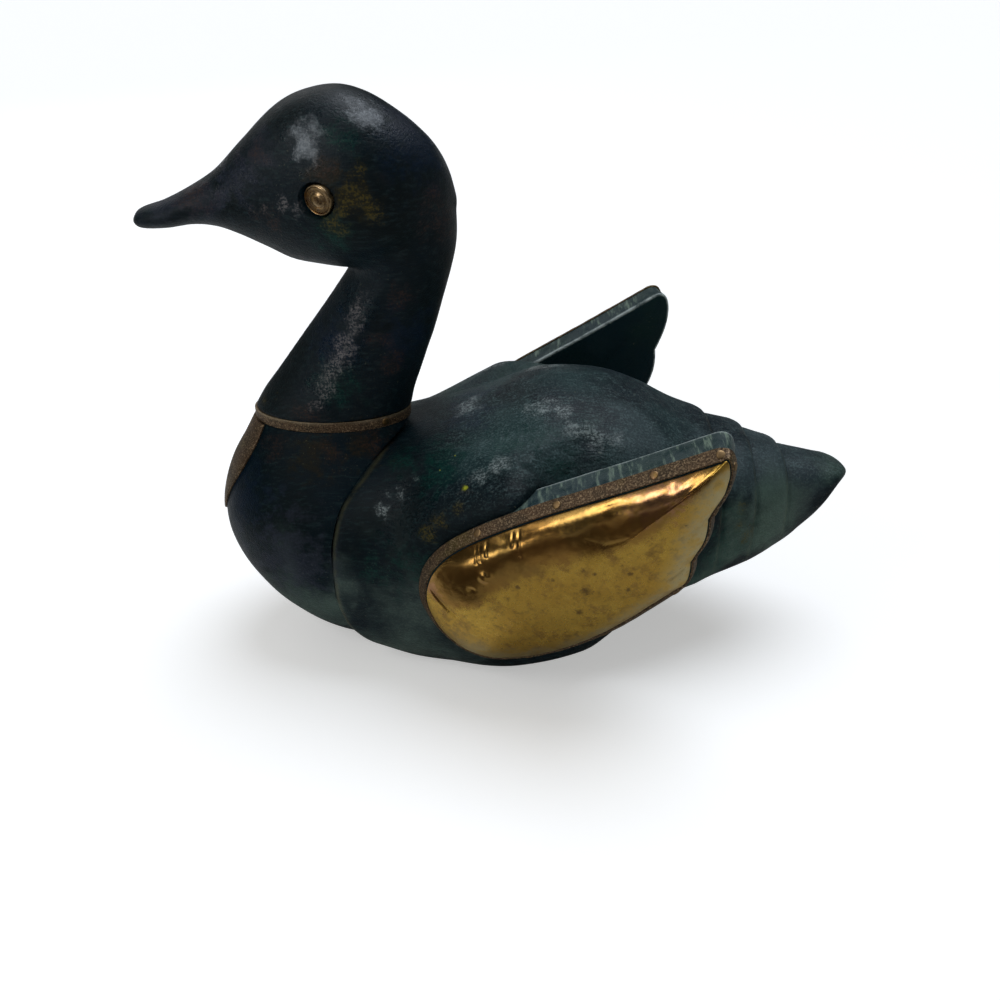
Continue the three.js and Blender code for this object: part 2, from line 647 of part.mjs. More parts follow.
// Pin at the foot of the breast strip
const stripPin = breastPoint(STRIP_PIN_Z, 0, STRIP_LIFT + COPPER_THICKNESS + GAP);
const stripPinPlace = standing(stripPin.point, stripPin.normal);
const stripPinHole = placedSolid(pinHole(), stripPinPlace);
breastCuts.push(stripPinHole);
duck.add(piece('breast_strip_pin', pinGeometry(), 'brass', stripPinPlace));

// Wings
for (const [name, side] of Object.entries(SIDES)) {
  const wing = new THREE.Group();
  const matrix = wingMatrix(name);
  wing.applyMatrix4(matrix);
  duck.add(wing);
  const facing = solid => (side === SIDES.left ? solid : solid.mirror([0, 0, 1]));
  const facingOut = vector => vector.multiply(new THREE.Vector3(1, 1, -side));
  const pins = WING_PINS.map(point => {
    const { place, direction } = bevelPlace(point);
    return standing(facingOut(place), facingOut(direction));
  });
  const screws = Object.entries(WING_SCREWS).map(([end, [x, y]]) => {
    const head = facingOut(new THREE.Vector3(x, y, WING_SCREW_DEPTH));
    return { end, place: standing(head, facingOut(new THREE.Vector3(0, 0, 1))) };
  });
  const pinHoles = pins.map(place => placedSolid(pinHole(), place));
  const screwHoles = screws.map(({ place }) => placedSolid(screwGeometry(GAP, SCREW_HEADROOM), place));
  const seat = loft([edgeRing(WING_SEAT_GAP, -GAP), edgeRing(WING_SEAT_GAP, WING_SEAT_DEPTH)]);
  [facing(seat), ...screwHoles].forEach(solid => bodyCuts.push(solid.transform(matrix.elements)));
  const board = cut(facing(boardSolid()), [...pinHoles, ...screwHoles]);
  wing.add(piece(`${name}_wing_board`, toGeometry(board), 'paint'));
  wing.add(piece(`${name}_wing_brass`, toGeometry(facing(brassSolid())), 'brass'));
  wing.add(piece(`${name}_wing_edging`, toGeometry(cut(facing(edgingSolid()), pinHoles)), 'copper'));
  pins.forEach((place, i) => wing.add(piece(`${name}_wing_pin_${i + 1}`, pinGeometry(), 'brass', place)));
  screws.forEach(({ end, place }) => {
    wing.add(piece(`${name}_wing_${end}_screw`, screwGeometry(), 'steel', place));
  });
}

// Carved blocks and copper trim
duck.add(piece('body_block', toGeometry(cut(bodyLoft(), bodyCuts)), 'paint'));
duck.add(piece('breast_block', toGeometry(cut(breastLoft(), breastCuts)), 'paint'));
duck.add(piece('head_and_neck', toGeometry(cut(headLoft().add(neckLoft()), neckCuts)), 'paint'));
duck.add(piece('collar_band', toGeometry(cut(collarSolid(), collarCuts)), 'copper'));
duck.add(piece('breast_strip', toGeometry(cut(stripSolid(), [stripPinHole])), 'copper'));

export default duck;
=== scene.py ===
"""Dresses the duck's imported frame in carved, brass and copper pieces, with floor, light and camera."""
import math

import bmesh
import bpy
import numpy as np
from mathutils import Matrix, Vector, noise


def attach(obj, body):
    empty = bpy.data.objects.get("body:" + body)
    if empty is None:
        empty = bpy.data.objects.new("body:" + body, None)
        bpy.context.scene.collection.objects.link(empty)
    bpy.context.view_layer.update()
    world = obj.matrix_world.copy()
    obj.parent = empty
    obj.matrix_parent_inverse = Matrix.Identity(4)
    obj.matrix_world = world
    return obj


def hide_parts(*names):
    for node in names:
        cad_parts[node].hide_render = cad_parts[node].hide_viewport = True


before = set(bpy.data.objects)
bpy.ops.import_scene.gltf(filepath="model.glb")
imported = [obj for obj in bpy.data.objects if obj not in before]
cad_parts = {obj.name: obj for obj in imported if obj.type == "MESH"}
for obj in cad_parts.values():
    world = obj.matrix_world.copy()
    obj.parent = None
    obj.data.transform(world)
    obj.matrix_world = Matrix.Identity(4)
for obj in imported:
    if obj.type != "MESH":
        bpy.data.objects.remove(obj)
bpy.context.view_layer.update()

# Lengths below are in millimetres, in the frame's own axes
MM = 0.001
SIDES = {"left": -1, "right": 1}
GAP = 0.3
# Points this near the ground stay flat when a block is roughened
FLAT_MARGIN = 0.2


def curve_part(start, end, slope, next_slope, t):
    """A smooth curve from a start to an end, leaving and arriving with given slopes, at parts of its way."""
    rise = end - start
    bend = t * (1 - t) * ((1 - t) * (slope - rise) - t * (next_slope - rise))
    return start + rise * t + bend


def profile(knots):
    """A smooth curve through (input, value) knots, level beyond its ends."""
    inputs, values = np.array(knots, float).T
    slopes = np.empty_like(values)
    slopes[1:-1] = (values[2:] - values[:-2]) / (inputs[2:] - inputs[:-2])
    slopes[[0, -1]] = (np.diff(values) / np.diff(inputs))[[0, -1]]

    def curve(at):
        at = np.clip(np.asarray(at, float), inputs[0], inputs[-1])
        i = np.clip(np.searchsorted(inputs, at, side="right") - 1, 0, len(inputs) - 2)
        span = inputs[i + 1] - inputs[i]
        t = (at - inputs[i]) / span
        return curve_part(values[i], values[i + 1], slopes[i] * span, slopes[i + 1] * span, t)

    return curve


# Edges sharper than these are shaded as edges, on most pieces and on the copper edging
CREASE_ANGLE = math.radians(40)
EDGING_CREASE = math.radians(50)

# Points round the blocks and the turned pieces, and rows along them
ROUND_POINTS = 256
HEAD_POINTS = 160
EYE_POINTS = 64
PIN_POINTS = 32
LEAST_RADIUS = 1e-3
BODY_ROWS = {"lip": 14, "even": 150, "step": 26, "tip": 18}
BREAST_ROWS = 130
BREAST_ROW_POWER = 1.25
NECK_ROWS = 90
HEAD_ROWS = {"bill": 16, "even": 90, "back": 24}
STRIP_ROWS = 70
STRIP_COLUMNS = 33

# Carving marks of each piece as size, depth, stretch along X and seed
BODY_CARVING = [(32, 0.8, 1.4, 3), (13, 0.35, 2, 7), (5, 0.11, 3, 11)]
BREAST_CARVING = [(38, 0.45, 1.2, 23), (13, 0.16, 1.6, 27)]
HEAD_CARVING = [(30, 0.45, 1.3, 41), (11, 0.16, 1.8, 47), (5, 0.06, 2, 53)]
BOARD_CARVING = [(16, 0.25, 1.5, 61), (5, 0.08, 2, 67)]
COLLAR_DENTS = [(9, 0.12, 1, 83)]

# Body: heights and half width along X, and the joint with the breast as X against height
BODY_FRONT_X = -80
BODY_TAIL_X = 151.8
BODY_EVEN_X = (-75, 142)
body_top = profile([
    (-80, 102.5), (-61, 106.5), (-32, 114), (-3, 120.5), (15, 123), (39, 121), (57, 115.1), (72, 107.3),
    (87, 102.1), (104, 99.1), (120, 95), (132, 92.8), (147, 89.2), (153, 87.8),
])
body_bottom = profile([
    (-80, 0), (-60, -6), (-25, -8), (0, -5), (22, 2), (45, 15), (66, 27.5), (85, 32.5), (106, 34.4),
    (117, 37.5), (127, 42.4), (137, 51.8), (147, 65.6), (153, 66),
])
body_half = profile([
    (-80, 50.5), (-50, 55), (-20, 58.5), (10, 60), (35, 58), (60, 52), (85, 43), (104, 36), (120, 29.5),
    (132, 25), (147, 19.5), (153, 16),
])
BODY_SECTION_POWERS = (2.3, 3.2)
joint_x = profile([
    (0, -58), (11, -66), (18, -71), (28, -76.5), (40, -79.5), (52, -80), (63, -80), (72, -79), (83, -75.5),
    (91, -69), (100, -59), (107, -48), (112, -42), (120, -40),
])
JOINT_BEND_END_X = 10
JOINT_LIP = 2.2
JOINT_LIP_RUN = 4.5
TAIL_STEPS_X = (87, 104, 120.5)
TAIL_STEP = 2.5
TAIL_SHOULDER = 6
TAIL_EVEN_X = (79, 129)
TAIL_FADE_SINE = 0.35
TAIL_ROUND = 10.7
TAIL_TIP_PART = 0.02
TAIL_GROOVE = 0.5
TAIL_GROOVE_WIDTH = 0.7
# Wear of the joint's lip and of the tail's steps: amount, place behind the edge and width
JOINT_WEAR = (0.3, 1.2, 0.9)
TAIL_WEAR = (0.15, -0.4, 0.6)

# Breast: outline in plan against height
BREAST_FOOT_Z = 3
BREAST_TOP_Z = 108
STUB_STEP = 0.02
breast_front = profile([
    (3, -83), (7, -92), (13, -101), (21, -111), (31, -120.3), (43, -127.8), (55, -132), (66, -133),
    (76, -131.2), (88, -126.6), (100, -119.5), (108, -115),
])
breast_half = profile([
    (3, 22), (7, 29), (13, 35.5), (21, 41), (31, 45.5), (44, 48), (58, 48.5), (70, 47), (80, 42.5),
    (90, 35.5), (100, 26.5), (108, 19.6),
])
breast_widest = profile([(3, -60), (30, -70), (60, -76), (90, -80), (108, -81)])
breast_back = profile([(3, -30), (60, -30), (90, -38), (100, -43), (108, -46.8)])

# Neck: outline in plan against height
NECK_FOOT_Z = 113
NECK_TOP_Z = 204
neck_front = profile([
    (113, -114.5), (121, -109.5), (131, -102), (147, -90), (164, -77), (175, -69.5), (190, -62), (204, -58),
])
neck_back = profile([
    (113, -46.5), (121, -44.5), (131, -41), (147, -35.5), (164, -30.3), (175, -27), (185, -25),
    (195, -24.6), (204, -25.5),
])
neck_half = profile([(113, 20.3), (121, 19), (131, 18), (147, 17.5), (164, 17.5), (190, 18), (204, 17)])
neck_ridge = profile([(113, 0.5), (122, 0.46), (138, 0.42), (204, 0.42)])
neck_power = profile([(113, 2), (122, 1.7), (135, 1.42), (150, 1.4), (170, 1.5), (204, 1.55)])
NECK_CREASE_END_X = -66
NECK_CREASE_FADE = 16
NECK_CREASE_HEIGHTS = (150, 222)
NECK_CREASE_EDGE = 8
NECK_CREASE_RATE = 0.5

# Head and bill: heights and half width along X
BILL_TIP_X = -153.5
HEAD_BACK_X = -24.5
HEAD_EVEN_X = (-141, -40)
BILL_ROUND = 12
HEAD_ROUND = 15.5
head_top = profile([
    (-153.5, 195), (-151, 198.5), (-140, 202.3), (-128, 208.5), (-118, 215), (-108, 224.5), (-100, 232),
    (-91, 239), (-81, 243.5), (-69, 245.3), (-59, 242.8), (-50, 237.8), (-39, 229.5), (-32, 222),
    (-27, 212.5), (-24.5, 203),
])
head_bottom = profile([
    (-153.5, 193.5), (-150, 191.8), (-140, 192), (-129, 193.5), (-119, 192.5), (-110, 189), (-100, 184),
    (-91, 179.5), (-81, 177.5), (-70, 176), (-55, 176), (-40, 180), (-30, 188), (-24.5, 199),
])
head_half = profile([
    (-153.5, 1.5), (-151, 5.5), (-140, 8.5), (-125, 10.5), (-115, 12.8), (-105, 15.8), (-95, 19.2),
    (-85, 22.6), (-75, 25.2), (-65, 26.6), (-55, 26), (-45, 22.8), (-37, 18), (-29, 10.5), (-24.5, 2),
])
HEAD_SECTION_POWERS = (2.15, 2.15)
HEAD_VOXEL = 0.8
HEAD_SMOOTHING = 6

# Eyes: pocket, ring and stud as (radius, height) profiles on the side of the head, facing the bill a little
EYE_X = -76
EYE_TURN = math.pi + 0.06
EYE_FORWARD = math.radians(28)
EYE_DOWN = math.radians(8)
EYE_SINK = 0.6
EYE_POCKET = [(0, -2.2), (6.1, -2.2), (6.3, -1.4), (7.1, 0.6), (7.8, 2.6), (7.8, 7), (0, 7)]
EYE_RING = [
    (5.2, -1.9), (6, -1.9), (6.02, 0), (5.96, 0.3), (5.8, 0.58), (5.55, 0.72), (5.35, 0.66), (5.22, 0.4),
]
EYE_STUD = [
    (0, -1.9), (5.05, -1.9), (5.05, 0.25), (4.95, 0.38), (4.6, 0.36), (3.7, 0.16), (3.1, 0.3), (2.65, 0.66),
    (2.3, 0.92), (1.8, 1.03), (0.9, 1.1), (0, 1.12),
]

# Copper edging, collar and breast strip
COPPER_THICKNESS = 0.6
EDGING_LOW = 0.12
EDGING_CORNER = 0.18
EDGING_FACE_PARTS = (0.03, *np.linspace(0.08, 0.92, 7), 0.97)
COLLAR_REBATE = 1
COLLAR_CLEARANCE = 0.1
COLLAR_LIFT = 0.15
COLLAR_OUT = GAP + COPPER_THICKNESS + COLLAR_LIFT
# Lower edge of the collar as rise and distance out, which its upper edge mirrors, and wear from the bottom up
COLLAR_EDGE = [
    (0, -0.3), (0, COLLAR_OUT - 0.3), (0.1, COLLAR_OUT - 0.08), (0.35, COLLAR_OUT), (1.6, COLLAR_OUT),
]
COLLAR_WEAR = [0, 0, 0, 0, 0, 0, 0.4, 1, 0.6, 0]
COLLAR_PIN_TURN = math.radians(45)
SMALL_TURN = 0.01
STRIP_HALF_WIDTH = [(62, 3), (64, 7.5), (68, 11), (76, 15), (88, 17.5), (98, 15), (107.6, 11)]
strip_half = profile(STRIP_HALF_WIDTH)
STRIP_PIN_Z = 68
STRIP_LIFT = 0.4
STRIP_LOW = 0.02
STRIP_OUT = STRIP_LIFT + COPPER_THICKNESS
STRIP_EDGE_PART = 0.06
STRIP_EDGE_DROP = 0.35

# Wings: local x runs back along the wing, y up across it and z outward
WING_PLACE = (11.5, 72, 80)
WING_PLACE_DEPTH = 14.5
WING_SLIDE = {"left": 0, "right": -2}
WING_PITCH = math.radians(21.3)
WING_SPLAY = math.radians(10.5)
WING_LEAN = math.radians(4)
WING_EDGE = [
    (73, 29), (40, 26), (2, 23), (-24, 19.3), (-41, 14.5), (-53, 7), (-60.5, -3.5), (-62.8, -14),
    (-61.5, -27), (-54.5, -40.5), (-40.5, -49), (-15, -50.5), (12, -44.5), (43.5, -31),
]
WING_LOBES = [
    ((52, -26), (54.5, -16)), ((63.5, -9), (66.5, 2)), ((76, 10), (79.5, 19.5)), ((83, 30.5), (73, 29)),
]
WING_POINTS = 720
WING_CURVE_STEPS = 24
WING_NORMAL_SMOOTHING = 3.6
WING_NORMAL_REACH = 45
WING_CENTRE = (4, -9)
WING_EDGE_DEPTH = 12.5
WING_BEVEL_IN = 3.4
WING_REAR_BEVEL_IN = 1.4
WING_REAR_FACING = (0.5, 0.85)
WING_BEVEL_OUT = 4.3
WING_CROWN = (5, 2)
WING_ROLL = (3.5, 10)
WING_SEAT_GAP = 0.4
WING_SEAT_DEPTH = 50
WING_FAIRING_DEPTH = 12.1
WING_FAIRING_RUN = 24
WING_FAIRING_END = (-10, 14)
WING_FAIRING_SPARE = 5

# Board: rings of its inner face and dome as parts of its outline, and its edge as move out, depth and wear
BOARD_FACE_OUT = -6
BOARD_FACE_SCALES = (0.02, 0.3, 0.6, 0.85)
BOARD_DOME_OUT = -0.5
BOARD_DOME_SCALES = (0.97, 0.9, 0.75, 0.5, 0.25, 0.02)
BOARD_INNER_EDGE = [
    (BOARD_FACE_OUT, 0, 0), (-1.3, 0, 0), (-0.7, 0.1, 0.6), (-0.25, 0.4, 1), (-0.05, 0.8, 1), (0, 1.3, 0.3),
]
BOARD_EDGE_DEPTHS = np.linspace(2, WING_EDGE_DEPTH - 0.3, 14)
BOARD_EDGE_WEAR = 0.08
BOARD_CORNER = 0.1

# Brass sheet and pins of a wing
BRASS_THICKNESS = 0.7
BRASS_MARGIN = 0.5
BRASS_RINGS = 62
BRASS_RING_POWER = 1.7
BRASS_RING_REACH = 0.98
BRASS_EDGE_OUT = 0.12
BRASS_EDGE_PARTS = (0.2, 0.6)
BRASS_MARKS_FADE = 0.06
WING_PINS = [
    (-24.5, 19.2), (11, 23.9), (51, 26.9), (77, 29), (80.8, 21.5), (68, 4), (54.5, -16), (43.5, -31),
    (8, -45), (-28, -48),
]
PIN_HEAD = [
    (0, -1.2), (1.65, -1.2), (1.7, 0), (1.66, 0.14), (1.5, 0.26), (1.1, 0.33), (0.5, 0.36), (0, 0.37),
]

# Marks in the brass: dents and bumps as local x, y, radius and height, scratches as ends, width and height,
# and the unevenness of the sheet, its border and the copper as depth, sizes along and across, and seed
BRASS_MARKS = [
    (-26, 2.6, 2.2, 1.1), (-26, 2.6, 0.9, -0.35), (-34, -2.3, 1.2, -0.45), (57, 22.3, 1.7, -0.35),
    (14, -20, 3.2, -0.25), (2, -30, 2.4, -0.2), (40, -6, 4.5, 0.3), (-48, -18, 3.5, -0.35),
    (24, 8, 7, -0.3), (-12, 18, 5, -0.3), (4, 19, 4, 0.25), (33, 17, 6, -0.3),
]
BRASS_SCRATCHES = [
    ((-27.5, 9), (-25, 17), 0.5, -0.3), ((-25.6, 9.5), (-23.3, 17.5), 0.4, -0.25),
    ((-22.3, 11), (-20, 18), 0.5, -0.3), ((-10.3, 13), (-8, 19.5), 0.5, -0.3),
    ((-8.3, 9), (-5.5, 20), 0.5, -0.3), ((19, 10), (26, 6), 0.5, -0.13), ((26, 6), (34, 6.5), 0.5, -0.13),
    ((-53.5, -1), (-47, -15), 0.7, -0.5), ((62, 22), (72, 27), 0.6, -0.15),
    ((44, -18), (50, -16), 0.6, -0.35),
]
BRASS_BEATING = [(0.55, 34, 26, 5), (0.2, 11, 11, 9), (0.05, 3.5, 3.5, 13)]
BRASS_WOBBLE = (0.16, 6, 6, 31)
EDGING_WOBBLE = (0.1, 5, 5, 71)

# Hazy lower border of the brass: its direction, the facings and the parts of the way out where it grows
BRASS_HAZE_DIRECTION = (0.35, -0.94)
BRASS_HAZE_FACING = (-0.3, 0.5)
BRASS_HAZE_PARTS = (0.7, 1)

# Lower border of the darker upper part of the brass, which is tarnish and also painted dark reflection, and
# the width over which it fades
tarnish_and_dark_reflection_line = profile([
    (-56, -3), (-48, -11), (-34, -9), (-19, -3.5), (7, 2.5), (25, 3), (45, 6), (62, 15.5), (76, 27.5),
])
TARNISH_AND_DARK_REFLECTION_FADE = 8

# Camera, found by matching the outline of the photograph
CAMERA_PLACE = (-14.7, -418, 318)
CAMERA_PITCH = math.radians(31.5)
CAMERA_TURN = math.radians(1)
CAMERA_LENS = 37.8
CAMERA_SENSOR = 36


# Mesh building

def full_turn(count):
    return np.linspace(0, 2 * math.pi, count, endpoint=False)


def grid_faces(rows, columns, joined=False):
    """Quads between successive rings of points, and from the last ring to the first where they are joined."""
    index = np.arange(rows * columns).reshape(rows, columns)
    if joined:
        index = np.vstack([index, index[:1]])
    ahead = np.roll(index, -1, axis=1)
    quads = np.stack([index[:-1], ahead[:-1], ahead[1:], index[1:]], axis=-1)
    return quads.reshape(-1, 4).tolist()


def tube(rings):
    """Points and faces of a closed body drawn through rings, with a fan on each end."""
    rings = np.asarray(rings, float)
    rows, columns, _ = rings.shape
    points = np.vstack([rings.reshape(-1, 3), rings[0].mean(0), rings[-1].mean(0)])
    faces = grid_faces(rows, columns)
    first, last = rows * columns, rows * columns + 1
    for i in range(columns):
        after = (i + 1) % columns
        faces.append([after, i, first])
        faces.append([(rows - 1) * columns + i, (rows - 1) * columns + after, last])
    return points, faces


def loop(sections):
    """Points and faces of a closed ring drawn through sections, the last joined to the first."""
    sections = np.asarray(sections, float)
    rows, columns, _ = sections.shape
    return sections.reshape(-1, 3), grid_faces(rows, columns, joined=True)


def turned_rings(outline, count):
    """Rings of points about local +Z, one for each (radius, height) of an outline."""
    radii, heights = np.array(outline, float).T[:, :, None]
    radii = np.maximum(radii, LEAST_RADIUS)
    angles = full_turn(count)
    return np.stack([radii * np.cos(angles), radii * np.sin(angles), heights + 0 * angles], axis=2)


def lathe(outline, count):
    """Points and faces of a turned body, from its profile, which starts and ends on the axis."""
    return tube(turned_rings(outline, count))


def lathe_ring(outline, count):
    """Points and faces of a turned ring, from its profile all the way round."""
    return loop(turned_rings(outline, count).transpose(1, 0, 2))


def new_object(name, points, faces, matrix=None):
    """A mesh object from points in millimetres, with its faces turned outward."""
    mesh = bpy.data.meshes.new(name)
    points = np.asarray(points, float)
    if matrix is not None:
        points = points @ np.array(matrix.to_3x3()).T + np.array(matrix.translation)
    mesh.from_pydata((points * MM).tolist(), [], faces)
    fine = bmesh.new()
    fine.from_mesh(mesh)
    bmesh.ops.recalc_face_normals(fine, faces=fine.faces)
    fine.to_mesh(mesh)
    fine.free()
    obj = bpy.data.objects.new(name, mesh)
    bpy.context.scene.collection.objects.link(obj)
    return obj


def apply_modifiers(obj):
    graph = bpy.context.evaluated_depsgraph_get()
    evaluated = obj.evaluated_get(graph)
    mesh = bpy.data.meshes.new_from_object(evaluated, preserve_all_data_layers=True, depsgraph=graph)
    obj.modifiers.clear()
    old = obj.data
    obj.data = mesh
    bpy.data.meshes.remove(old)


def cut_away(obj, cutters):
    for cutter in cutters:
        boolean = obj.modifiers.new("cut", "BOOLEAN")
        boolean.operation = "DIFFERENCE"
        boolean.solver = "EXACT"
        boolean.object = cutter
    apply_modifiers(obj)
    for cutter in cutters:
        bpy.data.objects.remove(cutter)


def vertex_arrays(mesh):
    """Places and normals of a mesh's points, in metres."""
    places = np.empty(len(mesh.vertices) * 3)
    normals = np.empty(len(mesh.vertices) * 3)
    mesh.vertices.foreach_get("co", places)
    mesh.vertices.foreach_get("normal", normals)
    return places.reshape(-1, 3), normals.reshape(-1, 3)


def move_points(mesh, places):
    mesh.vertices.foreach_set("co", places.ravel())
    mesh.update()


def roughen(obj, layers, keep_flat_z=None):
    """Moves points along their normals by layers of noise: (size, depth, stretch along X, seed)."""
    mesh = obj.data
    places, normals = vertex_arrays(mesh)
    moved = np.zeros(len(places))
    for size, depth, stretch, seed in layers:
        scaled = places / (size * MM) * np.array([1 / stretch, 1, 1]) + seed
        moved += depth * MM * np.array([noise.noise(Vector(p)) for p in scaled])
    fresh = places + normals * moved[:, None]
    if keep_flat_z is not None:
        flat = places[:, 2] < (keep_flat_z + FLAT_MARGIN) * MM
        fresh[flat] = places[flat]
        fresh[:, 2] = np.maximum(fresh[:, 2], keep_flat_z * MM)
    move_points(mesh, fresh)


def set_amount(obj, amounts, name="wear"):
    """A value from 0 to 1 at each point: how far the surface is rubbed, or how far tarnish and painted dark
    reflection darken it.
    """
    layer = obj.data.attributes.new(name, "FLOAT", "POINT")
    layer.data.foreach_set("value", np.clip(amounts, 0, 1))


def set_ring_amount(obj, amounts, name="wear"):
    """The same for a tube: a value at each point of its rings, and none at the middles of its ends."""
    set_amount(obj, np.append(amounts, [0, 0]), name)


def finish_piece(obj, material, nodes, crease=CREASE_ANGLE):
    """Smooth shading, a finish, and the CAD nodes that the piece stands for."""
    obj.data.materials.clear()
    obj.data.materials.append(material)
    obj.data.shade_smooth()
    obj.data.set_sharp_from_angle(angle=crease)
    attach(obj, "root")
    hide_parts(*nodes)


# Shapes shared by the carved blocks

def signed_power(value, power):
    return np.sign(value) * np.abs(value) ** power


def quarter_round(value):
    t = np.clip(value, 0, 1)
    return 1 - np.sqrt(1 - t * t)


def smooth_step(value, low, high):
    t = np.clip((value - low) / (high - low), 0, 1)
    return t * t * (3 - 2 * t)


def cross_section(x, bottom, top, half, powers, angles, bend=None):
    """One rounded section across X, between a bottom and a top height."""
    exponent = 2 / np.where(np.sin(angles) > 0, *powers)
    z = (bottom + top) / 2 + (top - bottom) / 2 * signed_power(np.sin(angles), exponent)
    y = half * signed_power(np.cos(angles), exponent)
    shift = bend(z) if bend else 0
    return np.stack([x + shift + 0 * z, y, z], axis=1)


def plan_section(z, front, widest, back, half, angles, grow=0, front_power=2):
    """One oval section in plan, widest between its front and back."""
    behind = np.cos(angles) > 0
    reach = np.where(behind, back - widest, widest - front)
    exponent = np.where(behind, 1, 2 / front_power)
    x = widest + (reach + grow) * signed_power(np.cos(angles), exponent)
    y = (half + grow) * signed_power(np.sin(angles), exponent)
    return np.stack([x, y, np.full_like(x, z)], axis=1)


# Body block

def body_section(x, angles):
    lip = JOINT_LIP * quarter_round((BODY_FRONT_X + JOINT_LIP_RUN - x) / JOINT_LIP_RUN)
    stepped = sum(
        TAIL_STEP * quarter_round((x - end + TAIL_SHOULDER) / TAIL_SHOULDER)
        + TAIL_GROOVE * math.exp(-((x - end - TAIL_GROOVE_WIDTH) / TAIL_GROOVE_WIDTH) ** 2)
        for end in TAIL_STEPS_X
    )
    start, end = TAIL_EVEN_X
    even = len(TAIL_STEPS_X) * TAIL_STEP * np.clip((x - start) / (end - start), 0, 1)
    below = np.clip((TAIL_FADE_SINE - np.sin(angles)) / (2 * TAIL_FADE_SINE), 0, 1)
    inset = lip + stepped + (even - stepped) * below
    taper = 1 - quarter_round((x - BODY_TAIL_X + TAIL_ROUND) / TAIL_ROUND)
    middle = (body_top(x) + body_bottom(x)) / 2
    reach = ((body_top(x) - body_bottom(x)) / 2 - inset) * taper
    half = (body_half(x) - inset) * taper
    fade = np.clip((JOINT_BEND_END_X - x) / (JOINT_BEND_END_X - BODY_FRONT_X), 0, 1)

    def bend(z):
        return (joint_x(z) - BODY_FRONT_X) * fade + GAP / 2

    return cross_section(x, middle - reach, middle + reach, half, BODY_SECTION_POWERS, angles, bend)


def worn_line(distance, amount, place, width):
    return amount * np.exp(-((distance - place) / width) ** 2)


def body_wear(obj):
    """Wear along the lip of the joint and the shoulders of the tail."""
    x, _, z = vertex_arrays(obj.data)[0].T / MM
    lines = [worn_line(x - joint_x(z), *JOINT_WEAR)]
    lines += [worn_line(x - end, *TAIL_WEAR) for end in TAIL_STEPS_X]
    set_amount(obj, sum(lines))


def body_object():
    angles = full_turn(ROUND_POINTS)
    rows = BODY_ROWS
    steps = [
        np.linspace(end - TAIL_SHOULDER, end + 3 * TAIL_GROOVE_WIDTH, rows["step"])
        for end in TAIL_STEPS_X
    ]
    tip = BODY_TAIL_X - TAIL_ROUND * np.linspace(1, TAIL_TIP_PART, rows["tip"]) ** 2
    stations = np.unique(np.concatenate([
        np.linspace(BODY_FRONT_X, BODY_FRONT_X + JOINT_LIP_RUN, rows["lip"]),
        np.linspace(*BODY_EVEN_X, rows["even"]), *steps, tip,
    ]))
    rings = np.array([body_section(x, angles) for x in stations])
    rings[:, :, 2] = np.maximum(rings[:, :, 2], 0)
    obj = new_object("body", *tube(rings))
    roughen(obj, BODY_CARVING, keep_flat_z=0)
    for name in SIDES:
        fair_to_wing(obj, name)
    return obj


def fair_to_wing(obj, name):
    """Brings the body's surface out to the copper strip along the front of a wing."""
    matrix = wing_matrix(name)
    turn, place = np.array(matrix.to_3x3()), np.array(matrix.translation)
    places = vertex_arrays(obj.data)[0] / MM
    local = (places - place) @ np.linalg.inv(turn).T
    level = np.abs(local[:, 2]) < 2 * WING_EDGE_DEPTH
    near = np.where(level & (local[:, 0] < WING_FAIRING_END[1] + WING_FAIRING_SPARE))[0]
    away = local[near, None, :2] - wing_points[None]
    distance = np.linalg.norm(away, axis=2)
    nearest = distance.argmin(axis=1)
    rows = np.arange(len(near))
    outside = (away[rows, nearest] * wing_normals[nearest]).sum(1) > 0
    distance = np.where(outside, distance[rows, nearest], 0)
    amount = 1 - smooth_step(distance, 0, WING_FAIRING_RUN)
    amount *= 1 - smooth_step(wing_points[nearest, 0], *WING_FAIRING_END)
    rise = np.maximum(WING_FAIRING_DEPTH - local[near, 2], 0) * amount
    places[near] += rise[:, None] * turn[:, 2]
    move_points(obj.data, places * MM)


# Breast block, head and neck

def breast_ring(z, angles, grow=0):
    return plan_section(z, breast_front(z), breast_widest(z), breast_back(z), breast_half(z), angles, grow)


def stub_ring(z, angles, grow):
    ring = breast_ring(BREAST_TOP_Z, angles, grow - COLLAR_REBATE)
    ring[:, 2] = z
    return ring


def breast_object():
    angles = full_turn(ROUND_POINTS)
    rise = (BREAST_TOP_Z - BREAST_FOOT_Z) * np.linspace(0, 1, BREAST_ROWS) ** BREAST_ROW_POWER
    rings = [breast_ring(BREAST_FOOT_Z + z, angles) for z in rise]
    rings += [stub_ring(z, angles, 0) for z in (BREAST_TOP_Z + STUB_STEP, NECK_FOOT_Z - GAP)]
    rings = np.array(rings)
    rings[:, :, 0] = np.minimum(rings[:, :, 0], joint_x(rings[:, :, 2]) - GAP / 2)
    obj = new_object("breast", *tube(rings))
    roughen(obj, BREAST_CARVING)
    return obj


def neck_ring(z, angles):
    front, back = neck_front(z), neck_back(z)
    ridge = front + neck_ridge(z) * (back - front)
    return plan_section(z, front, ridge, back, neck_half(z), angles, front_power=neck_power(z))


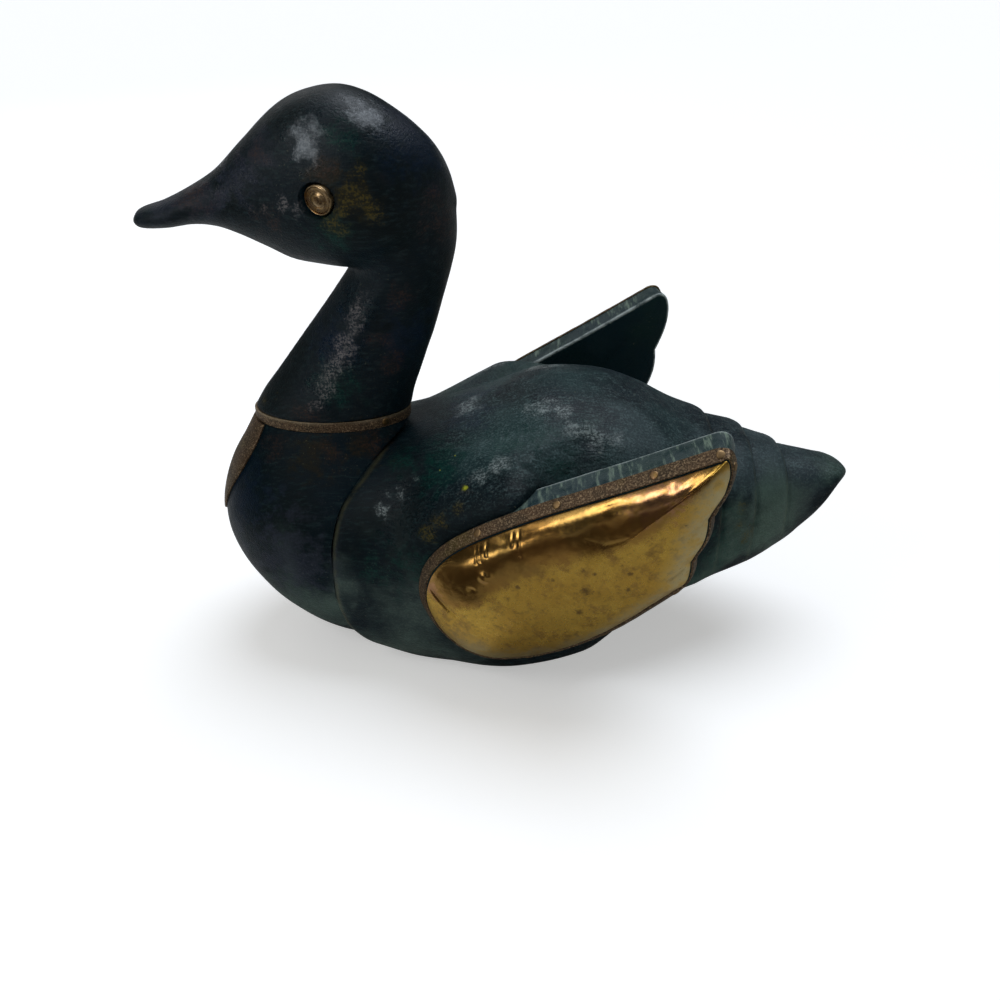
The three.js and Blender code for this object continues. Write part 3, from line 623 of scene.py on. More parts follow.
def fill_crease(obj, rounds=12, passes=50):
    """Fills the hollow where the neck meets the back of the head, and leaves outward bulges as they are."""
    mesh = obj.data
    edges = np.empty(len(mesh.edges) * 2, int)
    mesh.edges.foreach_get("vertices", edges)
    first, second = edges.reshape(-1, 2).T
    count = len(mesh.vertices)
    neighbours = np.maximum(np.bincount(first, minlength=count) + np.bincount(second, minlength=count), 1)
    for _ in range(rounds):
        places, normals = vertex_arrays(mesh)
        low, high = NECK_CREASE_HEIGHTS
        weight = np.clip((places[:, 0] / MM - NECK_CREASE_END_X) / NECK_CREASE_FADE, 0, 1)
        height = places[:, 2] / MM
        inside = np.minimum(height - low, high - height)
        weight *= np.clip(inside / NECK_CREASE_EDGE, 0, 1)
        for _ in range(passes):
            total = np.stack([
                np.bincount(first, places[second, k], count) + np.bincount(second, places[first, k], count)
                for k in range(3)
            ], axis=1)
            outward = ((total / neighbours[:, None] - places) * normals).sum(1)
            places += (NECK_CREASE_RATE * weight * np.maximum(outward, 0))[:, None] * normals
        move_points(mesh, places)


def head_object():
    angles = full_turn(HEAD_POINTS)
    stations = np.unique(np.concatenate([
        BILL_TIP_X + BILL_ROUND * np.linspace(0, 1, HEAD_ROWS["bill"]) ** 2,
        np.linspace(*HEAD_EVEN_X, HEAD_ROWS["even"]),
        HEAD_BACK_X - HEAD_ROUND * np.linspace(1, 0, HEAD_ROWS["back"]) ** 2,
    ]))
    head = [
        cross_section(x, head_bottom(x), head_top(x), head_half(x), HEAD_SECTION_POWERS, angles)
        for x in stations
    ]
    neck = [neck_ring(z, angles) for z in np.linspace(NECK_FOOT_Z, NECK_TOP_Z, NECK_ROWS)]
    head_points, head_faces = tube(head)
    neck_points, neck_faces = tube(neck)
    moved = [[i + len(head_points) for i in face] for face in neck_faces]
    obj = new_object("head", np.vstack([head_points, neck_points]), head_faces + moved)
    remesh = obj.modifiers.new("join", "REMESH")
    remesh.mode = "VOXEL"
    remesh.voxel_size = HEAD_VOXEL * MM
    smooth = obj.modifiers.new("soften", "SMOOTH")
    smooth.factor = 0.5
    smooth.iterations = HEAD_SMOOTHING
    apply_modifiers(obj)
    fill_crease(obj)
    roughen(obj, HEAD_CARVING)
    return obj


def eye_matrix(side):
    """The place of an eye on the head's side, with local +Z outward."""
    middle = (head_bottom(EYE_X) + head_top(EYE_X)) / 2
    reach = (head_top(EYE_X) - head_bottom(EYE_X)) / 2
    across = -side * head_half(EYE_X) * math.cos(EYE_TURN)
    level = math.cos(EYE_DOWN)
    forward = math.sin(EYE_FORWARD) * level
    outward = side * math.cos(EYE_FORWARD) * level
    direction = Vector((-forward, outward, -math.sin(EYE_DOWN)))
    surface = Vector((EYE_X, across, middle + reach * math.sin(EYE_TURN)))
    return standing(surface - direction * EYE_SINK, direction)


def standing(place, direction):
    """A matrix that stands local +Z along a direction at a place."""
    return Matrix.Translation(place) @ Vector((0, 0, 1)).rotation_difference(direction).to_matrix().to_4x4()


# Wings

def wing_outline():
    """Evenly spaced points round the wing, and the outward directions used to move them in and out."""
    edge = np.array(WING_EDGE, float)
    before = np.vstack([edge[:1], edge[:-1]])
    after = np.vstack([edge[1:], edge[-1:]])
    slopes = (after - before) / 2
    t = np.linspace(0, 1, WING_CURVE_STEPS, endpoint=False)[:, None]
    runs = [curve_part(*edge[i:i + 2], *slopes[i:i + 2], t) for i in range(len(edge) - 1)]
    start = edge[-1]
    for control, end in WING_LOBES:
        control, end = np.array(control, float), np.array(end, float)
        runs.append((1 - t) ** 2 * start + 2 * t * (1 - t) * control + t ** 2 * end)
        start = end
    fine = np.vstack(runs)
    fine = np.vstack([fine, fine[:1]])
    length = np.concatenate([[0], np.cumsum(np.linalg.norm(np.diff(fine, axis=0), axis=1))])
    wanted = np.linspace(0, length[-1], WING_POINTS, endpoint=False)
    points = np.stack([np.interp(wanted, length, fine[:, k]) for k in range(2)], axis=1)
    ahead = np.roll(points, -1, axis=0) - np.roll(points, 1, axis=0)
    normals = np.stack([ahead[:, 1], -ahead[:, 0]], axis=1)
    normals /= np.linalg.norm(normals, axis=1)[:, None]
    spacing = length[-1] / WING_POINTS
    offsets = np.arange(-WING_NORMAL_REACH, WING_NORMAL_REACH + 1)
    weights = np.exp(-0.5 * (offsets * spacing / WING_NORMAL_SMOOTHING) ** 2)
    smoothed = sum(w * np.roll(normals, k, axis=0) for k, w in zip(offsets, weights))
    return points, smoothed / np.linalg.norm(smoothed, axis=1)[:, None]


wing_points, wing_normals = wing_outline()
rearward = smooth_step(wing_normals[:, 0], *WING_REAR_FACING)
wing_bevel = WING_BEVEL_IN + (WING_REAR_BEVEL_IN - WING_BEVEL_IN) * rearward
bevel_slope = np.hypot(wing_bevel, WING_BEVEL_OUT)
bevel_outward = WING_BEVEL_OUT / bevel_slope
bevel_through = wing_bevel / bevel_slope


def wing_ring(out, depth, scale=1.0):
    """The outline moved out by a distance and drawn in towards the wing's centre, at a depth."""
    centre = np.array(WING_CENTRE, float)
    out = np.broadcast_to(out, WING_POINTS)[:, None]
    moved = (wing_points + wing_normals * out - centre) * scale + centre
    return np.column_stack([moved, np.broadcast_to(depth, WING_POINTS)])


def dome_rise(scale):
    return sum(height * (1 - scale ** power) for height, power in (WING_CROWN, WING_ROLL))


def wing_matrix(name):
    side = SIDES[name]
    along = Vector((math.cos(WING_PITCH), 0, math.sin(WING_PITCH)))
    up = Vector((-math.sin(WING_PITCH), 0, math.cos(WING_PITCH)))
    basis = Matrix((along, up, (0, -1, 0))).transposed().to_4x4()
    turn = Matrix.Rotation(side * WING_SPLAY, 4, "Z") @ Matrix.Rotation(-side * WING_LEAN, 4, "X") @ basis
    place = turn @ Vector((WING_SLIDE[name], 0, side * WING_PLACE_DEPTH))
    place += Vector((WING_PLACE[0], side * WING_PLACE[1], WING_PLACE[2]))
    facing = Matrix.Scale(-side, 4, (0, 0, 1))
    return Matrix.Translation(place) @ turn @ facing


def seat_object(name):
    rings = [wing_ring(WING_SEAT_GAP, -GAP), wing_ring(WING_SEAT_GAP, WING_SEAT_DEPTH)]
    return new_object("seat", *tube(rings), wing_matrix(name))


def board_object(name):
    """The painted board, with the paint worn along its inner edge and thin on its edge face."""
    border = WING_EDGE_DEPTH + WING_BEVEL_OUT
    inner_face = [(wing_ring(BOARD_FACE_OUT, 0, scale), 0) for scale in BOARD_FACE_SCALES]
    edge_face = [(0, depth, BOARD_EDGE_WEAR) for depth in BOARD_EDGE_DEPTHS]
    bevel = [
        (-BOARD_CORNER, WING_EDGE_DEPTH, 0), (BOARD_CORNER - wing_bevel, border - BOARD_CORNER, 0),
        (BOARD_CORNER + BOARD_DOME_OUT - wing_bevel, border, 0),
    ]
    sides = [(wing_ring(out, depth), wear) for out, depth, wear in BOARD_INNER_EDGE + edge_face + bevel]
    dome = [
        (wing_ring(BOARD_DOME_OUT - wing_bevel, border + dome_rise(scale), scale), 0)
        for scale in BOARD_DOME_SCALES
    ]
    rings, wear = zip(*inner_face, *sides, *dome)
    obj = new_object(f"{name}_board", *tube(rings), wing_matrix(name))
    set_ring_amount(obj, np.repeat(wear, WING_POINTS))
    roughen(obj, BOARD_CARVING)
    return obj


def flat_noise(points, depth, along, across, seed):
    """Noise over the flat of a wing: its depth, its sizes along and across the wing, and its seed."""
    return depth * np.array([noise.noise(Vector((x / along, y / across, seed))) for x, y in points[:, :2]])


def brass_marks(points):
    """How far the beaten sheet stands above its even dome."""
    lift = sum(flat_noise(points, *layer) for layer in BRASS_BEATING)
    for x, y, radius, height in BRASS_MARKS:
        squared = (points[:, 0] - x) ** 2 + (points[:, 1] - y) ** 2
        lift += height * np.exp(-squared / radius ** 2)
    for start, end, width, height in BRASS_SCRATCHES:
        run = np.subtract(end, start)
        part = np.clip((points[:, :2] - start) @ run / (run @ run), 0, 1)
        away = points[:, :2] - start - part[:, None] * run
        lift += height * np.exp(-(away ** 2).sum(1) / width ** 2)
    return lift


def brass_object(name):
    inset = wing_bevel + BRASS_MARGIN
    border = WING_EDGE_DEPTH + WING_BEVEL_OUT + GAP
    scales = 1 - np.linspace(0, 1, BRASS_RINGS) ** BRASS_RING_POWER * BRASS_RING_REACH
    wobble = flat_noise(wing_points, *BRASS_WOBBLE)
    under = [wing_ring(wobble - inset, border + dome_rise(scale), scale) for scale in scales[::-1]]
    edge = [
        wing_ring(wobble - inset + BRASS_EDGE_OUT, border + part * BRASS_THICKNESS)
        for part in BRASS_EDGE_PARTS
    ]
    top = border + BRASS_THICKNESS
    outer = [wing_ring(wobble - inset, top + dome_rise(scale), scale) for scale in scales]
    rings = np.array(under + edge + outer)
    parts = np.concatenate([scales[::-1], np.ones(len(edge)), scales])
    for ring, amount in zip(rings, np.clip((1 - parts) / BRASS_MARKS_FADE, 0, 1)):
        ring[:, 2] += amount * brass_marks(ring)
    obj = new_object(f"{name}_brass", *tube(rings), wing_matrix(name))
    lower = smooth_step(wing_normals @ np.array(BRASS_HAZE_DIRECTION), *BRASS_HAZE_FACING)
    set_ring_amount(obj, np.outer(smooth_step(parts, *BRASS_HAZE_PARTS), lower))
    # Darker above the line: tarnish, and painted dark reflection
    above = rings[:, :, 1] - tarnish_and_dark_reflection_line(rings[:, :, 0])
    set_ring_amount(obj, above / (2 * TARNISH_AND_DARK_REFLECTION_FADE) + 0.5, "tarnish_and_dark_reflection")
    return obj


def edging_object(name):
    """Copper strip on the bevel, with rounded corners and a slightly uneven face."""
    high = GAP + COPPER_THICKNESS
    shoulder = high - EDGING_CORNER
    face = [(part, high) for part in EDGING_FACE_PARTS]
    section = [(0.0, EDGING_LOW), (0.0, shoulder), *face, (1.0, shoulder), (1.0, EDGING_LOW)]
    uneven = flat_noise(wing_points, *EDGING_WOBBLE)
    rings = []
    for part, lift in section:
        lift = lift + (uneven if 0 < part < 1 else 0)
        depth = WING_EDGE_DEPTH + part * WING_BEVEL_OUT + lift * bevel_through
        rings.append(wing_ring(lift * bevel_outward - part * wing_bevel, depth))
    sections = np.array(rings).transpose(1, 0, 2)
    return new_object(f"{name}_edging", *loop(sections), wing_matrix(name))


def wing_pin_matrix(target):
    distance = np.linalg.norm(wing_points - np.array(target), axis=1)
    i = int(distance.argmin())
    normal = Vector((*wing_normals[i], 0))
    direction = normal * bevel_outward[i] + Vector((0, 0, bevel_through[i]))
    middle = Vector((*wing_points[i], 0)) - normal * (wing_bevel[i] / 2)
    place = middle + Vector((0, 0, WING_EDGE_DEPTH + WING_BEVEL_OUT / 2))
    return standing(place + direction * (GAP + COPPER_THICKNESS), direction)


def pin_object(name, matrix):
    return new_object(name, *lathe(PIN_HEAD, PIN_POINTS), matrix)


# Copper collar and breast strip

def collar_object():
    angles = full_turn(ROUND_POINTS)
    low, high = BREAST_TOP_Z + COLLAR_CLEARANCE, NECK_FOOT_Z - COLLAR_CLEARANCE
    section = [(low + rise, grow) for rise, grow in COLLAR_EDGE]
    section += [(high - drop, grow) for drop, grow in COLLAR_EDGE[::-1]]
    rings = np.array([stub_ring(z, angles, grow) for z, grow in section]).transpose(1, 0, 2)
    obj = new_object("collar", *loop(rings))
    set_amount(obj, np.tile(COLLAR_WEAR, len(angles)))
    roughen(obj, COLLAR_DENTS)
    return obj


def breast_point(z, y, offset):
    """A point on the front of the breast and its outward direction."""
    def surface(height, across):
        reach = breast_widest(height) - breast_front(height)
        return breast_widest(height) - reach * np.sqrt(1 - (across / breast_half(height)) ** 2)

    step = 0.5
    slope_y = (surface(z, y + step) - surface(z, y - step)) / (2 * step)
    slope_z = (surface(z + step, y) - surface(z - step, y)) / (2 * step)
    normal = np.array([-1, slope_y, slope_z]) / math.sqrt(1 + slope_y ** 2 + slope_z ** 2)
    return np.array([surface(z, y), y, z]) + normal * offset, normal


def strip_object():
    across = np.linspace(-1, 1, STRIP_COLUMNS)
    edge = np.clip((np.abs(across) - 1 + STRIP_EDGE_PART) / STRIP_EDGE_PART, 0, 1)
    lifts = STRIP_OUT - STRIP_EDGE_DROP * edge ** 2
    sections = []
    for z in np.linspace(STRIP_HALF_WIDTH[0][0], STRIP_HALF_WIDTH[-1][0], STRIP_ROWS):
        half = float(strip_half(z))
        inner = [breast_point(z, half * part, STRIP_LOW)[0] for part in across]
        outer = [breast_point(z, half * part, lift)[0] for part, lift in zip(across[::-1], lifts[::-1])]
        sections.append(inner + outer)
    return new_object("strip", *tube(sections))


# Materials

class Nodes:
    """Short ways to add and link shader nodes in one material."""

    def __init__(self, name):
        self.material = bpy.data.materials.new(name)
        self.material.use_nodes = True
        self.tree = self.material.node_tree
        self.shader = self.tree.nodes["Principled BSDF"]
        self.place = self.add("ShaderNodeTexCoord").outputs["Object"]

    def add(self, kind, inputs=None, **settings):
        node = self.tree.nodes.new(kind)
        for key, value in settings.items():
            setattr(node, key, value)
        for key, value in (inputs or {}).items():
            self.set(node.inputs[key], value)
        return node

    def set(self, socket, value):
        if isinstance(value, bpy.types.NodeSocket):
            self.tree.links.new(value, socket)
        else:
            socket.default_value = value

    def dress(self, **inputs):
        """The material, with inputs of its shader set or linked. Underscores stand for spaces."""
        for key, value in inputs.items():
            self.set(self.shader.inputs[key.replace("_", " ")], value)
        return self.material

    def attribute(self, name):
        return self.add("ShaderNodeAttribute", attribute_name=name).outputs["Fac"]

    def split(self, vector):
        return self.add("ShaderNodeSeparateXYZ", {"Vector": vector}).outputs

    def folded_place(self):
        """The place, with the right side of the duck folded onto its left."""
        x, y, z = self.split(self.place)
        near_side = self.math("MULTIPLY", self.math("ABSOLUTE", y), -1.0)
        return self.add("ShaderNodeCombineXYZ", {0: x, 1: near_side, 2: z}).outputs["Vector"]

    def stretched(self, scale):
        return self.add("ShaderNodeMapping", {"Vector": self.place, "Scale": scale}).outputs["Vector"]

    def noise(self, size, detail=4.0, rough=0.55, vector=None, seed=0.0):
        """Noise from 0 to 1 whose features are about a size in millimetres."""
        inputs = {"Vector": vector or self.place, "Location": (seed, seed / 2, -seed)}
        return self.add("ShaderNodeTexNoise", {
            "Vector": self.add("ShaderNodeMapping", inputs).outputs["Vector"],
            "Scale": 1 / (size * MM), "Detail": detail, "Roughness": rough,
        }).outputs["Fac"]

    def ramp(self, value, low, high, to_low=0.0, to_high=1.0):
        return self.add("ShaderNodeMapRange", {
            "Value": value, "From Min": low, "From Max": high, "To Min": to_low, "To Max": to_high,
        }, interpolation_type="SMOOTHSTEP").outputs["Result"]

    def math(self, operation, *values):
        return self.add("ShaderNodeMath", dict(enumerate(values)), operation=operation).outputs["Value"]

    def product(self, first, *others):
        for other in others:
            first = self.math("MULTIPLY", first, other)
        return first

    def mix(self, factor, first, second):
        node = self.add("ShaderNodeMix", {0: factor, 6: first, 7: second}, data_type="RGBA")
        return node.outputs[2]

    def spot(self, zone, vector, ragged):
        """A patch with a ragged border round the place of a zone in millimetres."""
        *centre, radius = (value * MM for value in zone)
        away = self.add("ShaderNodeVectorMath", {0: vector, 1: centre}, operation="DISTANCE").outputs["Value"]
        edge = self.math("MULTIPLY_ADD", ragged, radius, away)
        return self.ramp(edge, radius * 0.6, radius * 1.5, 1.0, 0.0)

    def blend_spots(self, shade, zones, vector, ragged, amount, tone):
        """A shade with a tone laid over it in each zone."""
        for zone in zones:
            shade = self.mix(self.product(self.spot(zone, vector, ragged), amount), shade, tone)
        return shade

    def bump(self, height, distance, strength=1.0, normal=None):
        inputs = {"Height": height, "Distance": distance * MM, "Strength": strength}
        if normal:
            inputs["Normal"] = normal
        return self.add("ShaderNodeBump", inputs).outputs["Normal"]


def colour(red, green, blue):
    return (red, green, blue, 1.0)


# Broad and small patches on the paint, some of them painted sheen and highlights as noted: tone, how far it
# covers the ground, how far brush marks break it up, and zones as x, y, z and radius, the same on both sides
# of the duck
# Paler paint tones on the back, the tail and the lower sides, partly painted sheen where light falls on them
BROAD_PATCHES = {
    "teal": (colour(0.019, 0.047, 0.047), 0.85, 0.35, [
        (66, -12, 108, 26), (24, -4, 122, 26), (14, -36, 112, 26), (-10, -25, 114, 24),
        (40, -40, 106, 22), (-20, -40, 104, 18),
    ]),
    "grey": (colour(0.038, 0.059, 0.064), 0.85, 0.35, [
        (46, -28, 112, 22), (84, -20, 100, 20), (104, -18, 90, 24), (130, -12, 82, 26),
    ]),
    "sage": (colour(0.052, 0.08, 0.068), 0.85, 0.3, [
        (-92, -36, 34, 36), (-49, -53, 34, 40), (-74, -52, 50, 18), (120, -20, 70, 20),
    ]),
    "moss": (colour(0.062, 0.105, 0.08), 0.85, 0.35, [
        (98, -36, 62, 22), (80, -42, 46, 22), (115, -28, 68, 18), (60, -48, 60, 20), (146, -7, 84, 20),
    ]),
}
SMALL_PATCHES = {
    "navy": (colour(0.0015, 0.009, 0.024), 0.8, 0.4, [
        (-40, -10, 226, 24), (-118, -22, 76, 24), (-19, -9, 111, 15), (-46, -12, 150, 18),
        (-80, -15, 150, 16),
    ]),
    # Bluish grey paint on the bill and forehead; its zone low on the breast is partly painted sheen
    "slate": (colour(0.019, 0.023, 0.036), 0.8, 0.4, [
        (-140, -5, 205, 16), (-122, -10, 206, 14), (-108, -12, 214, 13), (-98, -14, 224, 11),
        (-44, -6, 236, 12), (-100, -44, 60, 26),
    ]),
    "green": (colour(0.001, 0.032, 0.024), 0.8, 0.7, [
        (-31, -30, 104, 15), (-33, -41, 99, 13), (-6, -36, 111, 13), (16, -48, 105, 10),
        (-40, -58, 66, 14), (84, -42, 58, 28), (-58, -46, 60, 16), (30, -30, 115, 9), (-76, -18, 128, 13),
        (-72, -24, 196, 12), (-66, -20, 230, 10), (8, -36, 115, 10), (-50, -30, 102, 10),
    ]),
    "tawny": (colour(0.015, 0.012, 0.003), 0.9, 0.4, [
        (-62, -26, 211, 13), (-72, -25, 218, 10), (-88, -28, 103, 14), (-66, -26, 106, 13),
    ]),
    "brown": (colour(0.03, 0.015, 0.0105), 0.75, 0.85, [
        (-112, -12, 226, 9), (-126, -8, 207, 11), (-72, -25, 221, 8), (-88, -18, 116, 10),
        (-62, -20, 104, 11), (-80, -27, 103, 10), (-104, -18, 100, 8), (-30, -14, 196, 11),
        (-96, -20, 199, 9), (-22, -53, 98, 5), (-98, -14, 224, 7), (-48, -13, 168, 9), (-52, -14, 138, 8),
        (-36, -13, 206, 8), (-58, -15, 150, 6),
    ]),
    "olive": (colour(0.062, 0.047, 0.005), 0.8, 0.92, [
        (-63, -26.5, 213, 6), (-58, -26.4, 209, 6), (-66, -26, 206, 5), (-54, -25.5, 204, 5),
        (-73, -24.5, 199, 4), (-60, -25.5, 219, 5), (-68, -25, 198, 4), (-104, -13, 124, 4),
        (-110, -8, 119, 3), (97, -35, 79, 4), (100, -34, 64, 5), (96, -36, 70, 4), (-74, -46, 92, 4),
        (-78, -48, 80, 4), (-38, -58, 81, 5), (-33, -58, 88, 5), (-25, -58, 95, 4), (-70, -33, 103, 6),
        (-56, -24, 106, 5),
    ]),
    # Pale rubbed paint along the neck's front ridge and under the head, partly a painted highlight on the
    # ridge
    "rubbed_and_highlight": (colour(0.125, 0.115, 0.115), 0.75, 0.92, [
        (-63, -16, 175, 4), (-64, -16, 169, 5), (-66, -16, 162, 6), (-68, -16, 155, 6),
        (-71, -16, 148, 6), (-74, -17, 141, 6), (-78, -18, 134, 6), (-81, -18, 127, 6),
        (-85, -19, 121, 5), (-96, -14, 204, 6), (-89, -21, 206, 5), (-85, -22, 204, 4),
    ]),
    # Painted highlights on the crown
    "painted_highlight": (colour(0.18, 0.2, 0.215), 0.8, 0.5, [
        (-80, -20, 231, 8), (-79, -22, 226, 6), (-56, -13, 238, 9), (-58, -16, 236, 6),
    ]),
    # Pale scuffs on the body, partly painted highlights on the back
    "scuff_and_highlight": (colour(0.24, 0.28, 0.275), 0.85, 0.85, [
        (-8, -48, 108, 6), (-15, -49, 103, 6), (-21, -3, 111, 7), (32, -34, 114, 8), (23, -33, 116.5, 6),
        (40, -35, 112, 5), (9, -21, 120, 7), (18, -22, 120.5, 6), (-52, -44, 94, 6), (-46, -40, 99, 5),
        (-58, -47, 86, 5),
    ]),
}

# Zones of tool marks and yellow dots, and single tones
TOOL_ZONES = [(29, -42, 109, 13), (10, -50, 105, 10)]
YELLOW_DOTS = [(-22.4, -52.4, 99.7, 1.7), (-33.1, -38.1, 100, 0.6), (-26.8, -33.4, 104.3, 0.5)]
DOT_YELLOW = colour(0.34, 0.36, 0.02)
# Pale dust on upward faces, which also paints the light falling on the body's top
DUST_AND_TOP_LIGHT = colour(0.1, 0.15, 0.15)
CHIP = colour(0.13, 0.14, 0.09)

# Zones of more and of less shine, as a change of roughness
SHINE_CHANGES = {
    "gloss": (-0.2, [
        (-80, -20, 232, 15), (-56, -13, 238, 14), (10, -22, 120, 12), (32, -34, 114, 12),
        (-66, -16, 162, 13), (-73, -17, 143, 13), (-82, -18, 126, 11), (-112, -10, 212, 16),
        (-46, -48, 87, 18),
    ]),
    "matte": (0.14, [
        (52, -24, 112, 26), (72, -14, 106, 26), (90, -20, 98, 22), (120, -14, 86, 30), (-90, -36, 80, 30),
    ]),
}
LEAST_ROUGHNESS = 0.18

# Dust with painted top light, and grain, show behind the neck and below a height
GRAIN_START_X, GRAIN_END_X = -48, -14
GRAIN_TOP_Z = 122
GRAIN_FADE = 6

# Ground, cooler ground, brush marks, worn edges and the brush's stretch, on the carved blocks and the boards
CARVED_PAINT = (
    colour(0.0004, 0.005, 0.0065), colour(0.0006, 0.0068, 0.0115), colour(0.009, 0.023, 0.025),
    colour(0.11, 0.1, 0.04), (0.14, 1, 1),
)
BOARD_PAINT = (
    colour(0.002, 0.018, 0.024), colour(0.004, 0.025, 0.022), colour(0.2, 0.27, 0.2),
    colour(0.42, 0.48, 0.46), (0.6, 0.08, 0.6),
)


def paint_material(name, tones, specular, dust_and_top_light_amount, edges_only=False):
    """Dark brushed paint: tones, shine, dust with painted light on upward faces, and whether brush marks show
    on worn edges alone.
    """
    base, cool, streak, worn, across = tones
    nodes = Nodes(name)
    x, _, z = nodes.split(nodes.place)
    folded = nodes.folded_place()
    ragged = nodes.noise(6, 8, 0.7)
    cloud = nodes.noise(42, 4, 0.6)
    brushed = nodes.noise(1.3, 5, 0.7, nodes.stretched(across))
    speck = nodes.noise(0.9, 3, 0.65)
    mottle = nodes.math("MULTIPLY_ADD", brushed, 0.6, speck)
    border = nodes.ramp(ragged, 0.3, 0.7)
    soft_border = nodes.ramp(cloud, 0.3, 0.7)
    wear = nodes.attribute("wear")
    grainy = nodes.product(
        nodes.ramp(x, GRAIN_START_X * MM, GRAIN_END_X * MM),
        nodes.ramp(z, GRAIN_TOP_Z * MM, (GRAIN_TOP_Z + GRAIN_FADE) * MM, 1.0, 0.0),
    )

    # Ground, brush marks and zones
    shade = nodes.mix(nodes.ramp(cloud, 0.38, 0.64), base, cool)
    streaky = nodes.ramp(brushed, 0.49, 0.68, 0.0, 0.75)
    if edges_only:
        streaky = nodes.product(streaky, nodes.ramp(wear, 0.0, 0.06))
    shade = nodes.mix(streaky, shade, streak)
    for edge, patches in ((soft_border, BROAD_PATCHES), (border, SMALL_PATCHES)):
        for tone, cover, broken, zones in patches.values():
            amount = nodes.ramp(mottle, 0.74, 0.92, cover * (1 - broken), cover)
            shade = nodes.blend_spots(shade, zones, folded, edge, amount, tone)
    shade = nodes.blend_spots(shade, YELLOW_DOTS, folded, border, 1.0, DOT_YELLOW)

    # Dust with painted light on upward faces, chips and worn edges
    up = nodes.split(nodes.add("ShaderNodeNewGeometry").outputs["Normal"])[2]
    dust_and_top_light = nodes.product(
        nodes.ramp(up, 0.35, 1.0, 0.0, dust_and_top_light_amount), nodes.ramp(ragged, 0.36, 0.64, 0.25, 1.0), grainy,
        nodes.ramp(mottle, 0.76, 0.98),
    )
    chips = nodes.product(
        nodes.ramp(speck, 0.64, 0.72), nodes.ramp(cloud, 0.45, 0.62), nodes.ramp(grainy, 0, 1, 0.35, 1.0),
    )
    rubbed_and_highlight = nodes.product(wear, nodes.ramp(ragged, 0.34, 0.56, 0.15, 1.0))
    for amount, tone in ((dust_and_top_light, DUST_AND_TOP_LIGHT), (chips, CHIP), (rubbed_and_highlight, worn)):
        shade = nodes.mix(amount, shade, tone)

    # Shine and relief
    rough = nodes.ramp(brushed, 0.3, 0.7, -0.03, 0.05)
    rough = nodes.math("ADD", nodes.ramp(ragged, 0.25, 0.75, 0.3, 0.42), rough)
    for change, zones in SHINE_CHANGES.values():
        for zone in zones:
            rough = nodes.math("MULTIPLY_ADD", nodes.spot(zone, folded, border), change, rough)
    rough = nodes.math("MAXIMUM", rough, LEAST_ROUGHNESS)
    relief = nodes.bump(nodes.noise(4.5, 3, 0.5, nodes.stretched(across), 0.17), 0.2, 0.7)
    relief = nodes.bump(brushed, 0.16, 0.9, relief)
    relief = nodes.bump(nodes.product(speck, nodes.ramp(grainy, 0, 1, 0.8, 1.0)), 0.34, 1.0, relief)
    ripples = nodes.noise(1.7, 2, 0.5, nodes.stretched((0.12, 1, 1)), 0.31)
    for zone in TOOL_ZONES:
        relief = nodes.bump(nodes.product(ripples, nodes.spot(zone, folded, border)), 0.8, 1.0, relief)
    return nodes.dress(Base_Color=shade, Roughness=rough, Specular_IOR_Level=specular, Normal=relief)


# Stains and rosy patches of the brass as x, y, z and radius, the same on both wings
BRASS_SPOTS = [
    (25, -86, 72, 3.2), (23, -84, 60, 2.4), (41, -89, 82, 1.9), (41, -88, 74, 1.6), (-2, -80, 70, 1.6),
    (-5.6, -79, 63.5, 1.5), (12, -84, 76, 1.3), (23, -86, 82, 1.7), (28, -87, 81, 1.2), (38, -89, 86, 0.9),
    (40.5, -87.5, 67, 1.4), (2, -80, 68, 1.0), (60, -92, 106, 1.2),
]
ROSY_ZONES = [(47, -88, 115, 13), (56, -89, 119, 9), (-36, -65, 60, 6)]
STAIN_BROWN = colour(0.5, 0.29, 0.09)
FLECK_BROWN = colour(0.46, 0.27, 0.075)
# Tarnish tones, which also paint the dark reflection on the upper part of the brass
TARNISH_AND_DARK_REFLECTION_TONES = (colour(0.48, 0.25, 0.07), colour(0.42, 0.25, 0.075))
ROSY = colour(0.62, 0.32, 0.17)
PALE_HAZE = colour(0.98, 0.83, 0.46)
SPOT_BROWN = colour(0.2, 0.12, 0.06)
SPECK_BROWN = colour(0.12, 0.065, 0.025)


